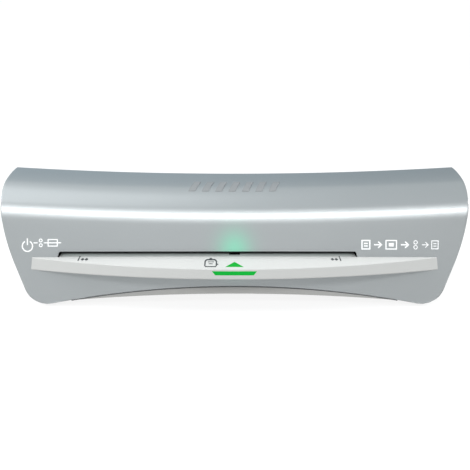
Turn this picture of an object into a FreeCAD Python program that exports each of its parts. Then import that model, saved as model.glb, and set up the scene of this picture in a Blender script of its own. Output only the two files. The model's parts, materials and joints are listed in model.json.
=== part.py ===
import FreeCAD, Part
import math
import os

# Pouch laminator for A4, millimetres, +Z up, front towards -Y, feet on Z = 0.
# While modelling, Y = 0 is the foot of the silver front face. save() moves each
# piece so that the origin is at the centre of the footprint's bounding box.

# ---- driving dimensions: outer shape ----
HALF_WIDTH = 192.45
FACE_LEAN = 12.0          # degrees that the front face leans back
FACE_FOOT_Z = 1.0         # height at which the face plane passes Y = 0
SHOULDER_FOOT_Z = 65.5    # height at which the flat face starts to round towards the crease
SHOULDER_R = 31.0
FRONT_ARC_R = 51.0        # from the crease up to the top arc
TOP_ARC_TURN = 9.8        # degrees of slope where the front arc meets the top arc
TOP_ARC_R = 200.0
PEAK_Y = 80.0
PEAK_Z = 94.2
REAR_SLOPE = 24.9         # degrees that the cover falls behind the ridge
REAR_ARC_Y = 102.8
REAR_ARC_Z = 61.6
REAR_ARC_R = 22.0
REAR_LEAN = 84.0
MID_Y = 70.0              # between the front and rear walls
SADDLE_AXIS_Z = 3275.0    # the side profile is revolved about this far axis
SADDLE_HALF_TURN = 3.8
WALL = 2.4
GAP = 0.3                 # between neighbouring covers
Y_SHIFT = 61.1            # from the foot of the face to the footprint's centre

# ---- front outline ----
OUTLINE_TOP_Z = 97.3
FLANK_R = 168.0
FLANK_TURN = 22.4
CORNER_R = 20.0
CORNER_LOW_Z = 2.0        # lowest point of the bottom corners
SHELL_ARCH_Z = 15.9
BASE_ARCH_Z = 8.6
END_INSET = 1.2
END_WALL = 2.5
BASE_TOP_Z = 30.0
REAR_SPLIT_Z = 52.0
APRON_INSET = 1.0

# ---- pouch path ----
SLOT_X0 = -144.2
SLOT_X1 = 100.0
SLOT_Z0 = 39.6
SLOT_Z1 = 44.0
EXIT_Z0 = 39.2
EXIT_Z1 = 44.8
NIP_Z = 42.0

# ---- feed lip ----
LIP_R = 662.0
LIP_FRONT_Y = -14.1       # at the height of the lip's rear edge
LIP_TOP_END_X = 165.4
LIP_LOW_END_X = 167.2
LIP_TOP_SLOPE = 9.0
LIP_TOP_REAR_Z = 39.8
LIP_TOP_REAR_Y = 8.25
LIP_LOW_FRONT_Z = 28.1
LIP_LOW_SLOPE = 4.0
TONGUE_Z0 = 37.1
TONGUE_END_Y = 26.0

# ---- frames and rollers ----
PLATE = 1.6
FRAME_LEFT = -150.0       # mid plane of each side frame
FRAME_RIGHT = 106.0
FRAME_FOOT_Z = 16.0
FRAME_TOP_Z = 76.0
ROLLER_Y = 80.0
ROLLER_R = 9.95
ROLLER_PITCH = 20.2       # distance between the two roller axes
CORE_R = 6.0
JOURNAL_R = 4.0
RUNNING = 0.05            # radial clearance of a shaft in its hole
SLEEVE_X0 = -138.0
SLEEVE_X1 = 94.0
LIFT = 1.5                # travel of the upper roller when released

# ---- gear train ----
MODULE = 1.0
PRESSURE_ANGLE = 20.0
BACKLASH = 0.16
GEAR_X0 = 110.0
GEAR_X1 = 118.0
ROLLER_TEETH = 20
IDLER_TEETH = 30
PINION_TEETH = 14
IDLER_DIRECTION = 165.0   # degrees from +Y towards +Z, seen from the right
PINION_DIRECTION = 120.0
GEAR_SLACK = 0.1          # added to each centre distance
STUD_R = 2.5
MOTOR_R = 22.0
MOTOR_X0 = 123.2
MOTOR_X1 = 145.0

# ---- release ----
RELEASE_Y = 97.0
RELEASE_Z = 58.5
RELEASE_R = 2.5
CAM_R = 3.5
CAM_OFFSET = 3.0
CAM_REACH = 6.7           # how far the cams and block arms reach in from the plates
LEVER_X = -158.5
LEVER_REACH = 42.0

# ---- electrics ----
SWITCH_X = 122.5
INLET_X = 150.0
REAR_PART_Z = 29.0
ROCKER_TILT = 12.0
ROCKER_Y = 124.5
BOARD_Z = 20.0

LOWER_Z = NIP_Z - ROLLER_PITCH / 2
UPPER_Z = NIP_Z + ROLLER_PITCH / 2
LEFT_INNER = FRAME_LEFT + PLATE / 2
LEFT_OUTER = FRAME_LEFT - PLATE / 2
RIGHT_INNER = FRAME_RIGHT - PLATE / 2
RIGHT_OUTER = FRAME_RIGHT + PLATE / 2
FAR = 260.0               # past every face of the object

os.makedirs("parts", exist_ok=True)


# ---- small builders ----
def point(x, y, z):
    return FreeCAD.Vector(x, y, z)


def save(name, shape):
    """Writes one sub-part, moved so that the origin is under the middle."""
    moved = shape.copy()
    moved.translate(point(0, -Y_SHIFT, 0))
    moved.exportStep("parts/" + name + ".step")


def box(x0, x1, y0, y1, z0, z1):
    return Part.makeBox(x1 - x0, y1 - y0, z1 - z0, point(x0, y0, z0))


def span_box(xa, xb, y0, y1, z0, z1):
    """A box whose two x values may come in either order."""
    return box(min(xa, xb), max(xa, xb), y0, y1, z0, z1)


def rod_x(x0, x1, y, z, radius):
    return Part.makeCylinder(radius, x1 - x0, point(x0, y, z), point(1, 0, 0))


def span_rod(xa, xb, y, z, radius):
    """A rod along X whose two x values may come in either order."""
    return rod_x(min(xa, xb), max(xa, xb), y, z, radius)


def rod_y(x, y0, y1, z, radius):
    return Part.makeCylinder(radius, y1 - y0, point(x, y0, z), point(0, 1, 0))


def rod_z(x, y, z0, z1, radius):
    return Part.makeCylinder(radius, z1 - z0, point(x, y, z0), point(0, 0, 1))


def prism(corners, travel):
    """Extrudes a closed polygon of 3-D corners along a vector."""
    wire = Part.makePolygon(corners + corners[:1])
    return Part.Face(wire).extrude(travel)


def side_slab(pairs, x0, x1):
    """A polygon of (y, z) pairs, extruded from x0 to x1."""
    return prism([point(x0, y, z) for y, z in pairs], point(x1 - x0, 0, 0))


def front_slab(pairs, y0, y1):
    """A polygon of (x, z) pairs, extruded from y0 to y1."""
    return prism([point(x, y0, z) for x, z in pairs], point(0, y1 - y0, 0))


def plan_slab(pairs, z0, z1):
    """A polygon of (x, y) pairs, extruded from z0 to z1."""
    return prism([point(x, y, z0) for x, y in pairs], point(0, 0, z1 - z0))


def union(shapes):
    return shapes[0].multiFuse(shapes[1:]).removeSplitter()


def group(shapes):
    return Part.makeCompound(shapes)


def arc_edge(centre, radius, angle0, angle1, place):
    """An arc given by angles in degrees, drawn through place(centre, radius, angle)."""
    middle = (angle0 + angle1) / 2
    ends = [place(centre, radius, angle) for angle in (angle0, middle, angle1)]
    return Part.Arc(*ends).toShape()


def side_pair(centre, radius, angle):
    """A (y, z) pair of the side view, with the angle from +Z towards +Y."""
    turn = math.radians(angle)
    return (centre[0] + radius * math.sin(turn), centre[1] + radius * math.cos(turn))


def side_place(centre, radius, angle):
    return point(0, *side_pair(centre, radius, angle))


def side_angle(centre, pair):
    """The angle from +Z towards +Y at which a (y, z) pair lies from a centre."""
    return math.degrees(math.atan2(pair[0] - centre[0], pair[1] - centre[1]))


def front_place(centre, radius, angle):
    """A point in the front view, with the angle from +X towards +Z."""
    turn = math.radians(angle)
    return point(centre[0] + radius * math.cos(turn), -FAR, centre[1] + radius * math.sin(turn))


def face_y(z):
    """Where the front face is at a height."""
    return (z - FACE_FOOT_Z) * math.tan(math.radians(FACE_LEAN))


# ---- outer envelope ----
def front_crossing(first, first_r, second, second_r):
    """Where two circles of the side view cross, on the side nearer the front."""
    dy = second[0] - first[0]
    dz = second[1] - first[1]
    apart = math.hypot(dy, dz)
    along = (apart ** 2 + first_r ** 2 - second_r ** 2) / (2 * apart)
    across = math.sqrt(first_r ** 2 - along ** 2)
    foot = (first[0] + along * dy / apart, first[1] + along * dz / apart)
    ends = [(foot[0] + s * across * dz / apart, foot[1] - s * across * dy / apart) for s in (1, -1)]
    return min(ends)


def ridge_pair(low, slope, centre, radius):
    """Where a line that climbs from low towards the front leaves a circle of the side view."""
    turn = math.radians(slope)
    heading = (-math.cos(turn), math.sin(turn))
    offset = (low[0] - centre[0], low[1] - centre[1])
    b = offset[0] * heading[0] + offset[1] * heading[1]
    c = offset[0] ** 2 + offset[1] ** 2 - radius ** 2
    travel = -b + math.sqrt(b * b - c)
    return (low[0] + travel * heading[0], low[1] + travel * heading[1])


def side_face(inset):
    """The side profile, moved inwards by inset, closed below the object."""
    lean = math.radians(FACE_LEAN)
    shoulder = (
        face_y(SHOULDER_FOOT_Z) + SHOULDER_R * math.cos(lean),
        SHOULDER_FOOT_Z - SHOULDER_R * math.sin(lean),
    )
    top = (PEAK_Y, PEAK_Z - TOP_ARC_R)
    front = side_pair(top, TOP_ARC_R - FRONT_ARC_R, -TOP_ARC_TURN)
    rear = (REAR_ARC_Y, REAR_ARC_Z)
    crease = front_crossing(shoulder, SHOULDER_R - inset, front, FRONT_ARC_R - inset)
    rear_start = side_pair(rear, REAR_ARC_R - inset, REAR_SLOPE)
    ridge = ridge_pair(rear_start, REAR_SLOPE, top, TOP_ARC_R - inset)
    arcs = [
        (shoulder, SHOULDER_R, FACE_LEAN - 90, side_angle(shoulder, crease)),
        (front, FRONT_ARC_R, side_angle(front, crease), -TOP_ARC_TURN),
        (top, TOP_ARC_R, -TOP_ARC_TURN, side_angle(top, ridge)),
        (rear, REAR_ARC_R, REAR_SLOPE, REAR_LEAN),
    ]
    edges = [arc_edge(c, r - inset, a, b, side_place) for c, r, a, b in arcs]
    edges.insert(3, Part.makeLine(point(0, *ridge), point(0, *rear_start)))
    face_top = edges[0].valueAt(edges[0].FirstParameter)
    rear_top = edges[-1].valueAt(edges[-1].LastParameter)
    drop = 110.0
    face_low = face_top - point(0, drop * math.tan(lean), drop)
    rear_low = rear_top + point(0, drop / math.tan(math.radians(REAR_LEAN)), -drop)
    edges.insert(0, Part.makeLine(face_low, face_top))
    edges.append(Part.makeLine(rear_top, rear_low))
    edges.append(Part.makeLine(rear_low, face_low))
    return Part.Face(Part.Wire(edges))


def envelope(inset):
    """The side profile revolved about the far axis, which bows the top and the crease."""
    face = side_face(inset)
    axis_point = point(0, 0, SADDLE_AXIS_Z)
    face.rotate(axis_point, point(0, 1, 0), -SADDLE_HALF_TURN)
    return face.revolve(axis_point, point(0, 1, 0), 2 * SADDLE_HALF_TURN)


def outline_prism(inset, arch_z):
    """The front outline, moved inwards by inset, extruded through the whole depth."""
    turn = math.radians(FLANK_TURN)
    flank = (HALF_WIDTH - FLANK_R, OUTLINE_TOP_Z)
    corner_z = CORNER_LOW_Z + CORNER_R
    line_top = front_place(flank, FLANK_R, -FLANK_TURN)
    line_x = line_top.x - (line_top.z - corner_z) * math.tan(turn)
    corner = (line_x - CORNER_R / math.cos(turn), corner_z)
    below = corner_z - arch_z
    arch_r = (corner[0] ** 2 + below ** 2 - CORNER_R ** 2) / (2 * (CORNER_R - below))
    arch_centre = (0, arch_z - arch_r)
    tangent = math.degrees(math.atan2(corner_z - arch_centre[1], corner[0]))
    right = [
        Part.makeLine(point(HALF_WIDTH - inset, -FAR, FAR), front_place(flank, FLANK_R - inset, 0)),
        arc_edge(flank, FLANK_R - inset, 0, -FLANK_TURN, front_place),
        Part.makeLine(
            front_place(flank, FLANK_R - inset, -FLANK_TURN),
            front_place(corner, CORNER_R - inset, -FLANK_TURN),
        ),
        arc_edge(corner, CORNER_R - inset, -FLANK_TURN, tangent - 180, front_place),
    ]
    left = [edge.mirror(point(0, 0, 0), point(1, 0, 0)) for edge in right]
    arch = arc_edge(arch_centre, arch_r + inset, tangent, 180 - tangent, front_place)
    lid = Part.makeLine(point(inset - HALF_WIDTH, -FAR, FAR), point(HALF_WIDTH - inset, -FAR, FAR))
    wire = Part.Wire(Part.__sortEdges__(right + left + [arch, lid]))
    return Part.Face(wire).extrude(point(0, 2 * FAR, 0))


OUTER = envelope(0)
INNER = envelope(WALL)
BEHIND_WALL = envelope(WALL + GAP)


# ---- covers ----
SHELL_POSTS = [(x, y) for x in (-167.0, 167.0) for y in (28.0, 112.0)]
POST_R = 3.5
SCREW_R = 1.5
SCREW_HEAD_R = 3.0
WELL_R = 3.3
LEVER_NOTCH = (LEVER_X - 4.5, LEVER_X + 4.5)


def slot_cutter(y0, y1):
    """The entry slot with rounded upper corners and slightly slanted ends."""
    corner = 1.6
    slant = 1.2
    pairs = [
        (SLOT_X0 - slant, TONGUE_Z0 - 0.3),
        (SLOT_X0, SLOT_Z1 - corner),
        (SLOT_X0 + 0.5, SLOT_Z1 - 0.5),
        (SLOT_X0 + corner, SLOT_Z1),
        (SLOT_X1 - corner, SLOT_Z1),
        (SLOT_X1 - 0.5, SLOT_Z1 - 0.5),
        (SLOT_X1, SLOT_Z1 - corner),
        (SLOT_X1 + slant, TONGUE_Z0 - 0.3),
    ]
    return front_slab(pairs, y0, y1)


def build_top_shell():
    """Silver cover: front face, crease, bowed top and upper rear, open at both ends."""
    shell = OUTER.cut(INNER).common(outline_prism(0, SHELL_ARCH_Z))
    shell = shell.cut(box(-FAR, FAR, MID_Y, FAR, -FAR, REAR_SPLIT_Z + GAP))
    shell = shell.cut(slot_cutter(-5, 20))
    shell = shell.cut(box(*LEVER_NOTCH, 105, 140, REAR_SPLIT_Z - 1, 86))
    posts = [rod_z(x, y, BASE_TOP_Z + GAP, 95, POST_R).common(OUTER) for x, y in SHELL_POSTS]
    shell = union([shell] + posts)
    bores = [rod_z(x, y, BASE_TOP_Z - 1, 44, SCREW_R) for x, y in SHELL_POSTS]
    return shell.cut(group(bores))


def end_panel(sign):
    """Recessed end panel that closes one end of the silver cover."""
    slab = outline_prism(END_INSET, SHELL_ARCH_Z).cut(outline_prism(END_INSET + END_WALL, SHELL_ARCH_Z))
    panel = slab.common(envelope(WALL + 0.1)).cut(box(-FAR, FAR, -FAR, FAR, -FAR, BASE_TOP_Z + GAP))
    half = box(min(0, sign * FAR), max(0, sign * FAR), -FAR, FAR, -FAR, FAR)
    return panel.common(half)


FRAME_BOSSES = [(x, y) for x in (-156.0, 112.0) for y in (36.0, 106.0)]
BOARD_POSTS = [(x, y) for x in (128.0, 164.0) for y in (50.0, 98.0)]
COVER_SCREWS = [(-158.0, 20.0), (-74.0, 20.0), (26.0, 20.0), (96.0, 20.0)]
FEET = [(x, y) for x in (-138.0, 138.0) for y in (31.0, 106.0)]
FOOT_R = 8.0
FOOT_SEAT_Z = 5.2


def build_base_tray():
    """Tub with an arched floor, rounded lower corners, bosses, posts, vents and foot seats."""
    outer = outline_prism(END_INSET, BASE_ARCH_Z)
    inner = outline_prism(END_INSET + END_WALL, BASE_ARCH_Z)
    lid = box(-FAR, FAR, -FAR, FAR, BASE_TOP_Z, 2 * FAR)
    block = outer.common(BEHIND_WALL).cut(lid)
    hollow = inner.common(envelope(WALL + GAP + END_WALL))
    above_apron = outline_prism(-GAP, SHELL_ARCH_Z)
    apron = outer.common(envelope(APRON_INSET)).cut(BEHIND_WALL).cut(above_apron)
    apron = apron.common(box(-150, 150, -5, 15, 0, BASE_TOP_Z))
    tub = union([block.cut(hollow), apron])
    bosses = [rod_z(x, y, 0, FRAME_FOOT_Z, 4.0) for x, y in FRAME_BOSSES]
    bosses += [rod_z(x, y, 0, BOARD_Z, 3.0) for x, y in BOARD_POSTS]
    bosses += [rod_z(x, y, 0, BASE_TOP_Z, 5.0) for x, y in SHELL_POSTS]
    bosses += [box(x - 4, x + 4, 114, 124, 0, z + 5) for x, z in COVER_SCREWS]
    tub = union([tub] + [boss.common(block) for boss in bosses])
    cuts = [rod_z(x, y, 8, FRAME_FOOT_Z + 1, SCREW_R) for x, y in FRAME_BOSSES]
    cuts += [rod_z(x, y, 12, BOARD_Z + 1, 1.25) for x, y in BOARD_POSTS]
    cuts += [rod_z(x, y, 0, 24, WELL_R) for x, y in SHELL_POSTS]
    cuts += [rod_z(x, y, 0, BASE_TOP_Z + 1, SCREW_R) for x, y in SHELL_POSTS]
    cuts += [rod_y(x, 116, 135, z, SCREW_R) for x, z in COVER_SCREWS]
    cuts += [rod_z(x, y, -1, FOOT_SEAT_Z, FOOT_R) for x, y in FEET]
    cuts += [box(x - 1.5, x + 1.5, 44, 84, 5, 15) for x in range(-104, 72, 8)]
    cuts.append(box(SWITCH_X - 11, SWITCH_X + 11, 108, 135, REAR_PART_Z - 7.5, BASE_TOP_Z + 1))
    cuts.append(box(INLET_X - 9.5, INLET_X + 9.5, 104, 135, REAR_PART_Z - 6.5, BASE_TOP_Z + 1))
    return tub.cut(group(cuts))


def build_rear_cover():
    """Rear wall below the silver cover, with the exit slot, vents and openings for the electrics."""
    wall = OUTER.cut(INNER).common(outline_prism(END_INSET / 2, BASE_ARCH_Z))
    wall = wall.common(box(-FAR, FAR, MID_Y, FAR, 0, REAR_SPLIT_Z))
    cuts = [box(SLOT_X0, SLOT_X1, 100, 140, EXIT_Z0, EXIT_Z1)]
    cuts += [box(x - 1.2, x + 1.2, 100, 140, 24, 34) for x in range(-58, 14, 6)]
    cuts += [rod_y(x, 100, 140, z, SCREW_R) for x, z in COVER_SCREWS]
    cuts.append(box(SWITCH_X - 10.5, SWITCH_X + 10.5, 100, 140, REAR_PART_Z - 7, REAR_PART_Z + 7))
    cuts.append(box(INLET_X - 9, INLET_X + 9, 100, 140, REAR_PART_Z - 6, REAR_PART_Z + 6))
    return wall.cut(group(cuts)).cut(rating_plate())


def rating_plate():
    """Blank plate let into the rear cover's outer surface."""
    layer = OUTER.cut(envelope(0.6))
    return layer.common(box(-142, -92, MID_Y, FAR, 12, 34))


def build_feed_lip():
    """White lip: bowed front, sloping top, and a tongue that runs in through the entry slot."""
    slope_top = math.tan(math.radians(LIP_TOP_SLOPE))
    slope_low = math.tan(math.radians(LIP_LOW_SLOPE))
    front = LIP_FRONT_Y - 6
    rear = LIP_TOP_REAR_Y + 8
    side = [
        (front, LIP_TOP_REAR_Z - slope_top * (LIP_TOP_REAR_Y - front)),
        (rear, LIP_TOP_REAR_Z + slope_top * (rear - LIP_TOP_REAR_Y)),
        (rear, LIP_LOW_FRONT_Z + slope_low * (rear - LIP_FRONT_Y)),
        (front, LIP_LOW_FRONT_Z + slope_low * (front - LIP_FRONT_Y)),
    ]
    wedge = side_slab(side, -FAR, FAR)
    ends = front_slab(
        [
            (-LIP_TOP_END_X, 42), (LIP_TOP_END_X, 42),
            (LIP_LOW_END_X, 24), (-LIP_LOW_END_X, 24),
        ],
        front, rear,
    )
    lip = wedge.common(ends).common(lip_bow()).cut(OUTER)
    front_edges = [e for e in lip.Edges if is_front_edge(e)]
    lip = lip.makeFillet(0.8, front_edges)
    inset = 0.35
    tongue = box(SLOT_X0 + inset, SLOT_X1 - inset, 0, TONGUE_END_Y, TONGUE_Z0, SLOT_Z0)
    tongue = tongue.cut(box(-FAR, FAR, -FAR, face_y(TONGUE_Z0) - 2, 0, FAR))
    return union([lip, tongue])


def lip_bow():
    """A bowed plan, extruded downwards and forwards, parallel to the leaning face."""
    lean = math.tan(math.radians(FACE_LEAN))
    high = 6.0
    deep = 24.0
    top_z = LIP_TOP_REAR_Z + high
    front_y = LIP_FRONT_Y + high * lean
    disc = Part.Face(Part.Wire(Part.makeCircle(LIP_R, point(0, front_y + LIP_R, top_z), point(0, 0, 1))))
    return disc.extrude(point(0, -deep * lean, -deep))


def is_front_edge(edge):
    """True for the two long bowed edges of the lip's front."""
    long_enough = edge.Length > 2 * LIP_TOP_END_X - 5
    return long_enough and edge.BoundBox.YMin < LIP_FRONT_Y + 4


def lip_inlays(lip):
    """The arrow, the light bar and the lamp window, each let into the lip."""
    slope_top = math.tan(math.radians(LIP_TOP_SLOPE))
    depth = 0.8
    low_y = -12.0
    rear_y = 6.0
    low_z = LIP_TOP_REAR_Z - slope_top * (LIP_TOP_REAR_Y - low_y)
    rear_z = LIP_TOP_REAR_Z - slope_top * (LIP_TOP_REAR_Y - rear_y)
    layer = side_slab(
        [(low_y, low_z - depth), (rear_y, rear_z - depth), (rear_y, rear_z + 1), (low_y, low_z + 1)],
        -20, 20,
    )
    arrow = plan_slab([(-7.5, -10.6), (7.5, -10.6), (0, -1.2)], 30, 45).common(layer).common(lip)
    bar_pairs = [(-18.0, 34.6), (18.0, 34.6), (15.4, 31.4), (-15.4, 31.4)]
    bar = front_slab(bar_pairs, -20, -12.5).common(lip)
    window = box(-4.6, 4.6, 15, 21, SLOT_Z0 - 1, SLOT_Z0)
    return arrow, bar, window


def build_badge():
    """A plain row of slanted raised bars on the top, where a maker would put a badge."""
    bars = 7
    pitch = 11.2
    width = 5.6
    lean = 2.1
    near_y = 36.0
    far_y = 54.0
    layer = envelope(-0.4).cut(OUTER)
    pieces = []
    for n in range(bars):
        x = (n - (bars - 1) / 2) * pitch - width / 2
        pairs = [(x - lean, near_y), (x + width - lean, near_y), (x + width + lean, far_y), (x + lean, far_y)]
        pieces.append(plan_slab(pairs, 80, 110).common(layer))
    return group(pieces)


def build_feet():
    """Four rubber feet in the tray's seats."""
    return group([rod_z(x, y, 0, FOOT_SEAT_Z, FOOT_R) for x, y in FEET])


def screw_z(x, y, head_z0, head_z1, tip_z, radius, head_r):
    """A screw along Z with a round head and a cross recess."""
    low = min(head_z0, tip_z)
    high = max(head_z1, tip_z)
    body = rod_z(x, y, low, high, radius)
    head = rod_z(x, y, head_z0, head_z1, head_r)
    deep = 1.0
    outer_z = head_z0 if tip_z > head_z1 else head_z1 - deep
    bar = head_r * 0.6
    cross = union([
        box(x - bar, x + bar, y - 0.3, y + 0.3, outer_z, outer_z + deep),
        box(x - 0.3, x + 0.3, y - bar, y + bar, outer_z, outer_z + deep),
    ])
    return union([body, head]).cut(cross)


def build_housing_screws():
    return group([screw_z(x, y, 21.5, 24, 42, SCREW_R, SCREW_HEAD_R) for x, y in SHELL_POSTS])


def build_cover_screws():
    """Four screws that hold the rear cover to the tray."""
    screws = []
    for x, z in COVER_SCREWS:
        shank = rod_y(x, 117, 128, z, SCREW_R)
        head = rod_y(x, 126, 132, z, SCREW_HEAD_R).cut(OUTER)
        slot = box(x - 2, x + 2, 130.6, 133, z - 0.4, z + 0.4)
        screws.append(union([shank, head.common(envelope(-2.0))]).cut(slot))
    return group(screws)


def build_power_inlet():
    """Two-pin appliance inlet, seated on the rear cover."""
    body = box(INLET_X - 9, INLET_X + 9, 106, 130.2, REAR_PART_Z - 6, REAR_PART_Z + 6)
    rim = box(INLET_X - 11.5, INLET_X + 11.5, 126, 130.2, REAR_PART_Z - 8.5, REAR_PART_Z + 8.5)
    rim = rim.cut(OUTER)
    lobes = [rod_y(INLET_X + side, 112, 135, REAR_PART_Z, 4.2) for side in (-4.3, 4.3)]
    neck = box(INLET_X - 4.3, INLET_X + 4.3, 112, 135, REAR_PART_Z - 2.8, REAR_PART_Z + 2.8)
    sockets = [rod_y(INLET_X + side, 104, 113, REAR_PART_Z, 1.2) for side in (-4.3, 4.3)]
    return union([body, rim]).cut(union(lobes + [neck])).cut(group(sockets))


def build_inlet_pins():
    return group([rod_y(INLET_X + side, 102, 124, REAR_PART_Z, 1.2) for side in (-4.3, 4.3)])


SWITCH_TABS = [SWITCH_X - 6, SWITCH_X, SWITCH_X + 6]


def build_switch_body():
    """Frame and case of the rocker switch."""
    half = 10.5
    case = box(SWITCH_X - half, SWITCH_X + half, 110, 129.6, REAR_PART_Z - 7, REAR_PART_Z + 7)
    rim = box(SWITCH_X - 12, SWITCH_X + 12, 126, 129.6, REAR_PART_Z - 8.5, REAR_PART_Z + 8.5).cut(OUTER)
    well = box(SWITCH_X - 9.3, SWITCH_X + 9.3, 117, 135, REAR_PART_Z - 5.6, REAR_PART_Z + 5.6)
    axle = rod_z(SWITCH_X, ROCKER_Y, REAR_PART_Z - 6.6, REAR_PART_Z + 6.6, 1.0)
    tabs = [box(x - 0.4, x + 0.4, 102, 110, REAR_PART_Z - 3, REAR_PART_Z + 3) for x in SWITCH_TABS]
    return union([case, rim]).cut(well).cut(axle).fuse(tabs)


def build_rocker():
    """Rocker, shown switched off: tilted one way about its upright axle."""
    face = [(-8.2, 5.6), (-4, 4.2), (0, 3.7), (4, 4.2), (8.2, 5.6)]
    back = [(7.2, 0.5), (3.5, -3.5), (-3.5, -3.5), (-7.2, 0.5)]
    corners = [(SWITCH_X + x, ROCKER_Y + y) for x, y in face + back]
    rocker = plan_slab(corners, REAR_PART_Z - 5.3, REAR_PART_Z + 5.3)
    axle = rod_z(SWITCH_X, ROCKER_Y, REAR_PART_Z - 6.3, REAR_PART_Z + 6.3, 0.95)
    rocker = union([rocker, axle])
    rocker.rotate(point(SWITCH_X, ROCKER_Y, REAR_PART_Z), point(0, 0, 1), ROCKER_TILT)
    return rocker


# ---- frames ----
TIE_RODS = [(31.0, 22.0), (106.0, 24.0), (50.0, 72.0)]
TIE_R = 3.0
BLOCK_HALF = 6.7
BLOCK_LOW = 45.1
BLOCK_TOP = 59.2
BUSH_R = 6.0
STANDOFFS = [(30.0, 48.0), (66.0, 70.0), (42.0, 20.9)]


def gear_centre(y, z, reach, direction):
    turn = math.radians(direction)
    return y + reach * math.cos(turn), z + reach * math.sin(turn)


IDLER_REACH = MODULE * (ROLLER_TEETH + IDLER_TEETH) / 2 + GEAR_SLACK
PINION_REACH = MODULE * (IDLER_TEETH + PINION_TEETH) / 2 + GEAR_SLACK
IDLER_Y, IDLER_Z = gear_centre(ROLLER_Y, LOWER_Z, IDLER_REACH, IDLER_DIRECTION)
PINION_Y, PINION_Z = gear_centre(IDLER_Y, IDLER_Z, PINION_REACH, PINION_DIRECTION)


def side_frame(middle, outward):
    """Steel side plate with a bottom flange that is bent outwards."""
    x0 = middle - PLATE / 2
    x1 = middle + PLATE / 2
    front_edge = [(27, FRAME_FOOT_Z), (27, 62), (38, FRAME_TOP_Z)]
    rear_edge = [(104, FRAME_TOP_Z), (112, 66), (112, FRAME_FOOT_Z)]
    plate = side_slab(front_edge + rear_edge, x0, x1)
    flange_end = middle + outward * 10.8
    flange = span_box(middle, flange_end, 30, 112, FRAME_FOOT_Z, FRAME_FOOT_Z + PLATE)
    frame = union([plate, flange])
    holes = [rod_x(x0 - 1, x1 + 1, y, z, 1.6) for y, z in TIE_RODS]
    holes.append(rod_x(x0 - 1, x1 + 1, ROLLER_Y, LOWER_Z, BUSH_R))
    holes.append(rod_x(x0 - 1, x1 + 1, RELEASE_Y, RELEASE_Z, RELEASE_R + RUNNING))
    slot_half = BLOCK_HALF + GAP
    slot_top = BLOCK_TOP + LIFT + 1
    holes.append(box(x0 - 1, x1 + 1, ROLLER_Y - slot_half, ROLLER_Y + slot_half, BLOCK_LOW - GAP, slot_top))
    holes += [rod_z(x, y, 10, 20, SCREW_R) for x, y in FRAME_BOSSES]
    if outward > 0:
        holes.append(rod_x(x0 - 1, x1 + 1, IDLER_Y, IDLER_Z, 1.5))
    return frame.cut(group(holes))


def build_tie_rods():
    rods = []
    for y, z in TIE_RODS:
        rod = rod_x(LEFT_INNER, RIGHT_INNER, y, z, TIE_R)
        bores = [rod_x(LEFT_INNER, LEFT_INNER + 9, y, z, 1.6), rod_x(RIGHT_INNER - 9, RIGHT_INNER, y, z, 1.6)]
        rods.append(rod.cut(group(bores)))
    return group(rods)


def build_frame_screws():
    """Screws of the flanges and of the tie rods' ends."""
    top = FRAME_FOOT_Z + PLATE
    screws = [screw_z(x, y, top, top + 2, 9, SCREW_R, SCREW_HEAD_R) for x, y in FRAME_BOSSES]
    for y, z in TIE_RODS:
        for face, away in ((LEFT_OUTER, -1), (RIGHT_OUTER, 1)):
            head = span_rod(face, face + 2.2 * away, y, z, 3.2)
            shank = span_rod(face, face - 9 * away, y, z, 1.6)
            screws.append(union([head, shank]))
    return group(screws)


def build_lower_bushes():
    """Flanged bushes that carry the lower roller in the two plates."""
    bushes = []
    for inner, outer, away in ((LEFT_INNER, LEFT_OUTER, -1), (RIGHT_INNER, RIGHT_OUTER, 1)):
        body = span_rod(inner, outer, ROLLER_Y, LOWER_Z, BUSH_R)
        flange = span_rod(outer, outer + 1.5 * away, ROLLER_Y, LOWER_Z, 7.5)
        bore = span_rod(inner - 5 * away, outer + 5 * away, ROLLER_Y, LOWER_Z, JOURNAL_R + RUNNING)
        bushes.append(union([body, flange]).cut(bore))
    return group(bushes)


CLIP_X0 = -155.6
CLIP_X1 = -154.8
GROOVE_R = JOURNAL_R - 0.6


def roller_shaft(z):
    """Steel core with a journal at each end, the right one long enough for the gear."""
    core = rod_x(-142, 98, ROLLER_Y, z, CORE_R)
    journal = rod_x(-157, 121, ROLLER_Y, z, JOURNAL_R)
    groove = rod_x(CLIP_X0, CLIP_X1, ROLLER_Y, z, JOURNAL_R + 1)
    groove = groove.cut(rod_x(CLIP_X0 - 1, CLIP_X1 + 1, ROLLER_Y, z, GROOVE_R))
    return union([core, journal]).cut(groove)


def roller_sleeve(z):
    return rod_x(SLEEVE_X0, SLEEVE_X1, ROLLER_Y, z, ROLLER_R).cut(rod_x(-150, 110, ROLLER_Y, z, CORE_R))


def roller_clip(z):
    """E-clip in the left journal's groove."""
    ring = rod_x(CLIP_X0, CLIP_X1, ROLLER_Y, z, 6.4)
    ring = ring.cut(rod_x(CLIP_X0 - 1, CLIP_X1 + 1, ROLLER_Y, z, GROOVE_R))
    return ring.cut(box(CLIP_X0 - 1, CLIP_X1 + 1, ROLLER_Y - 1.4, ROLLER_Y + 1.4, z - 8, z))


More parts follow.
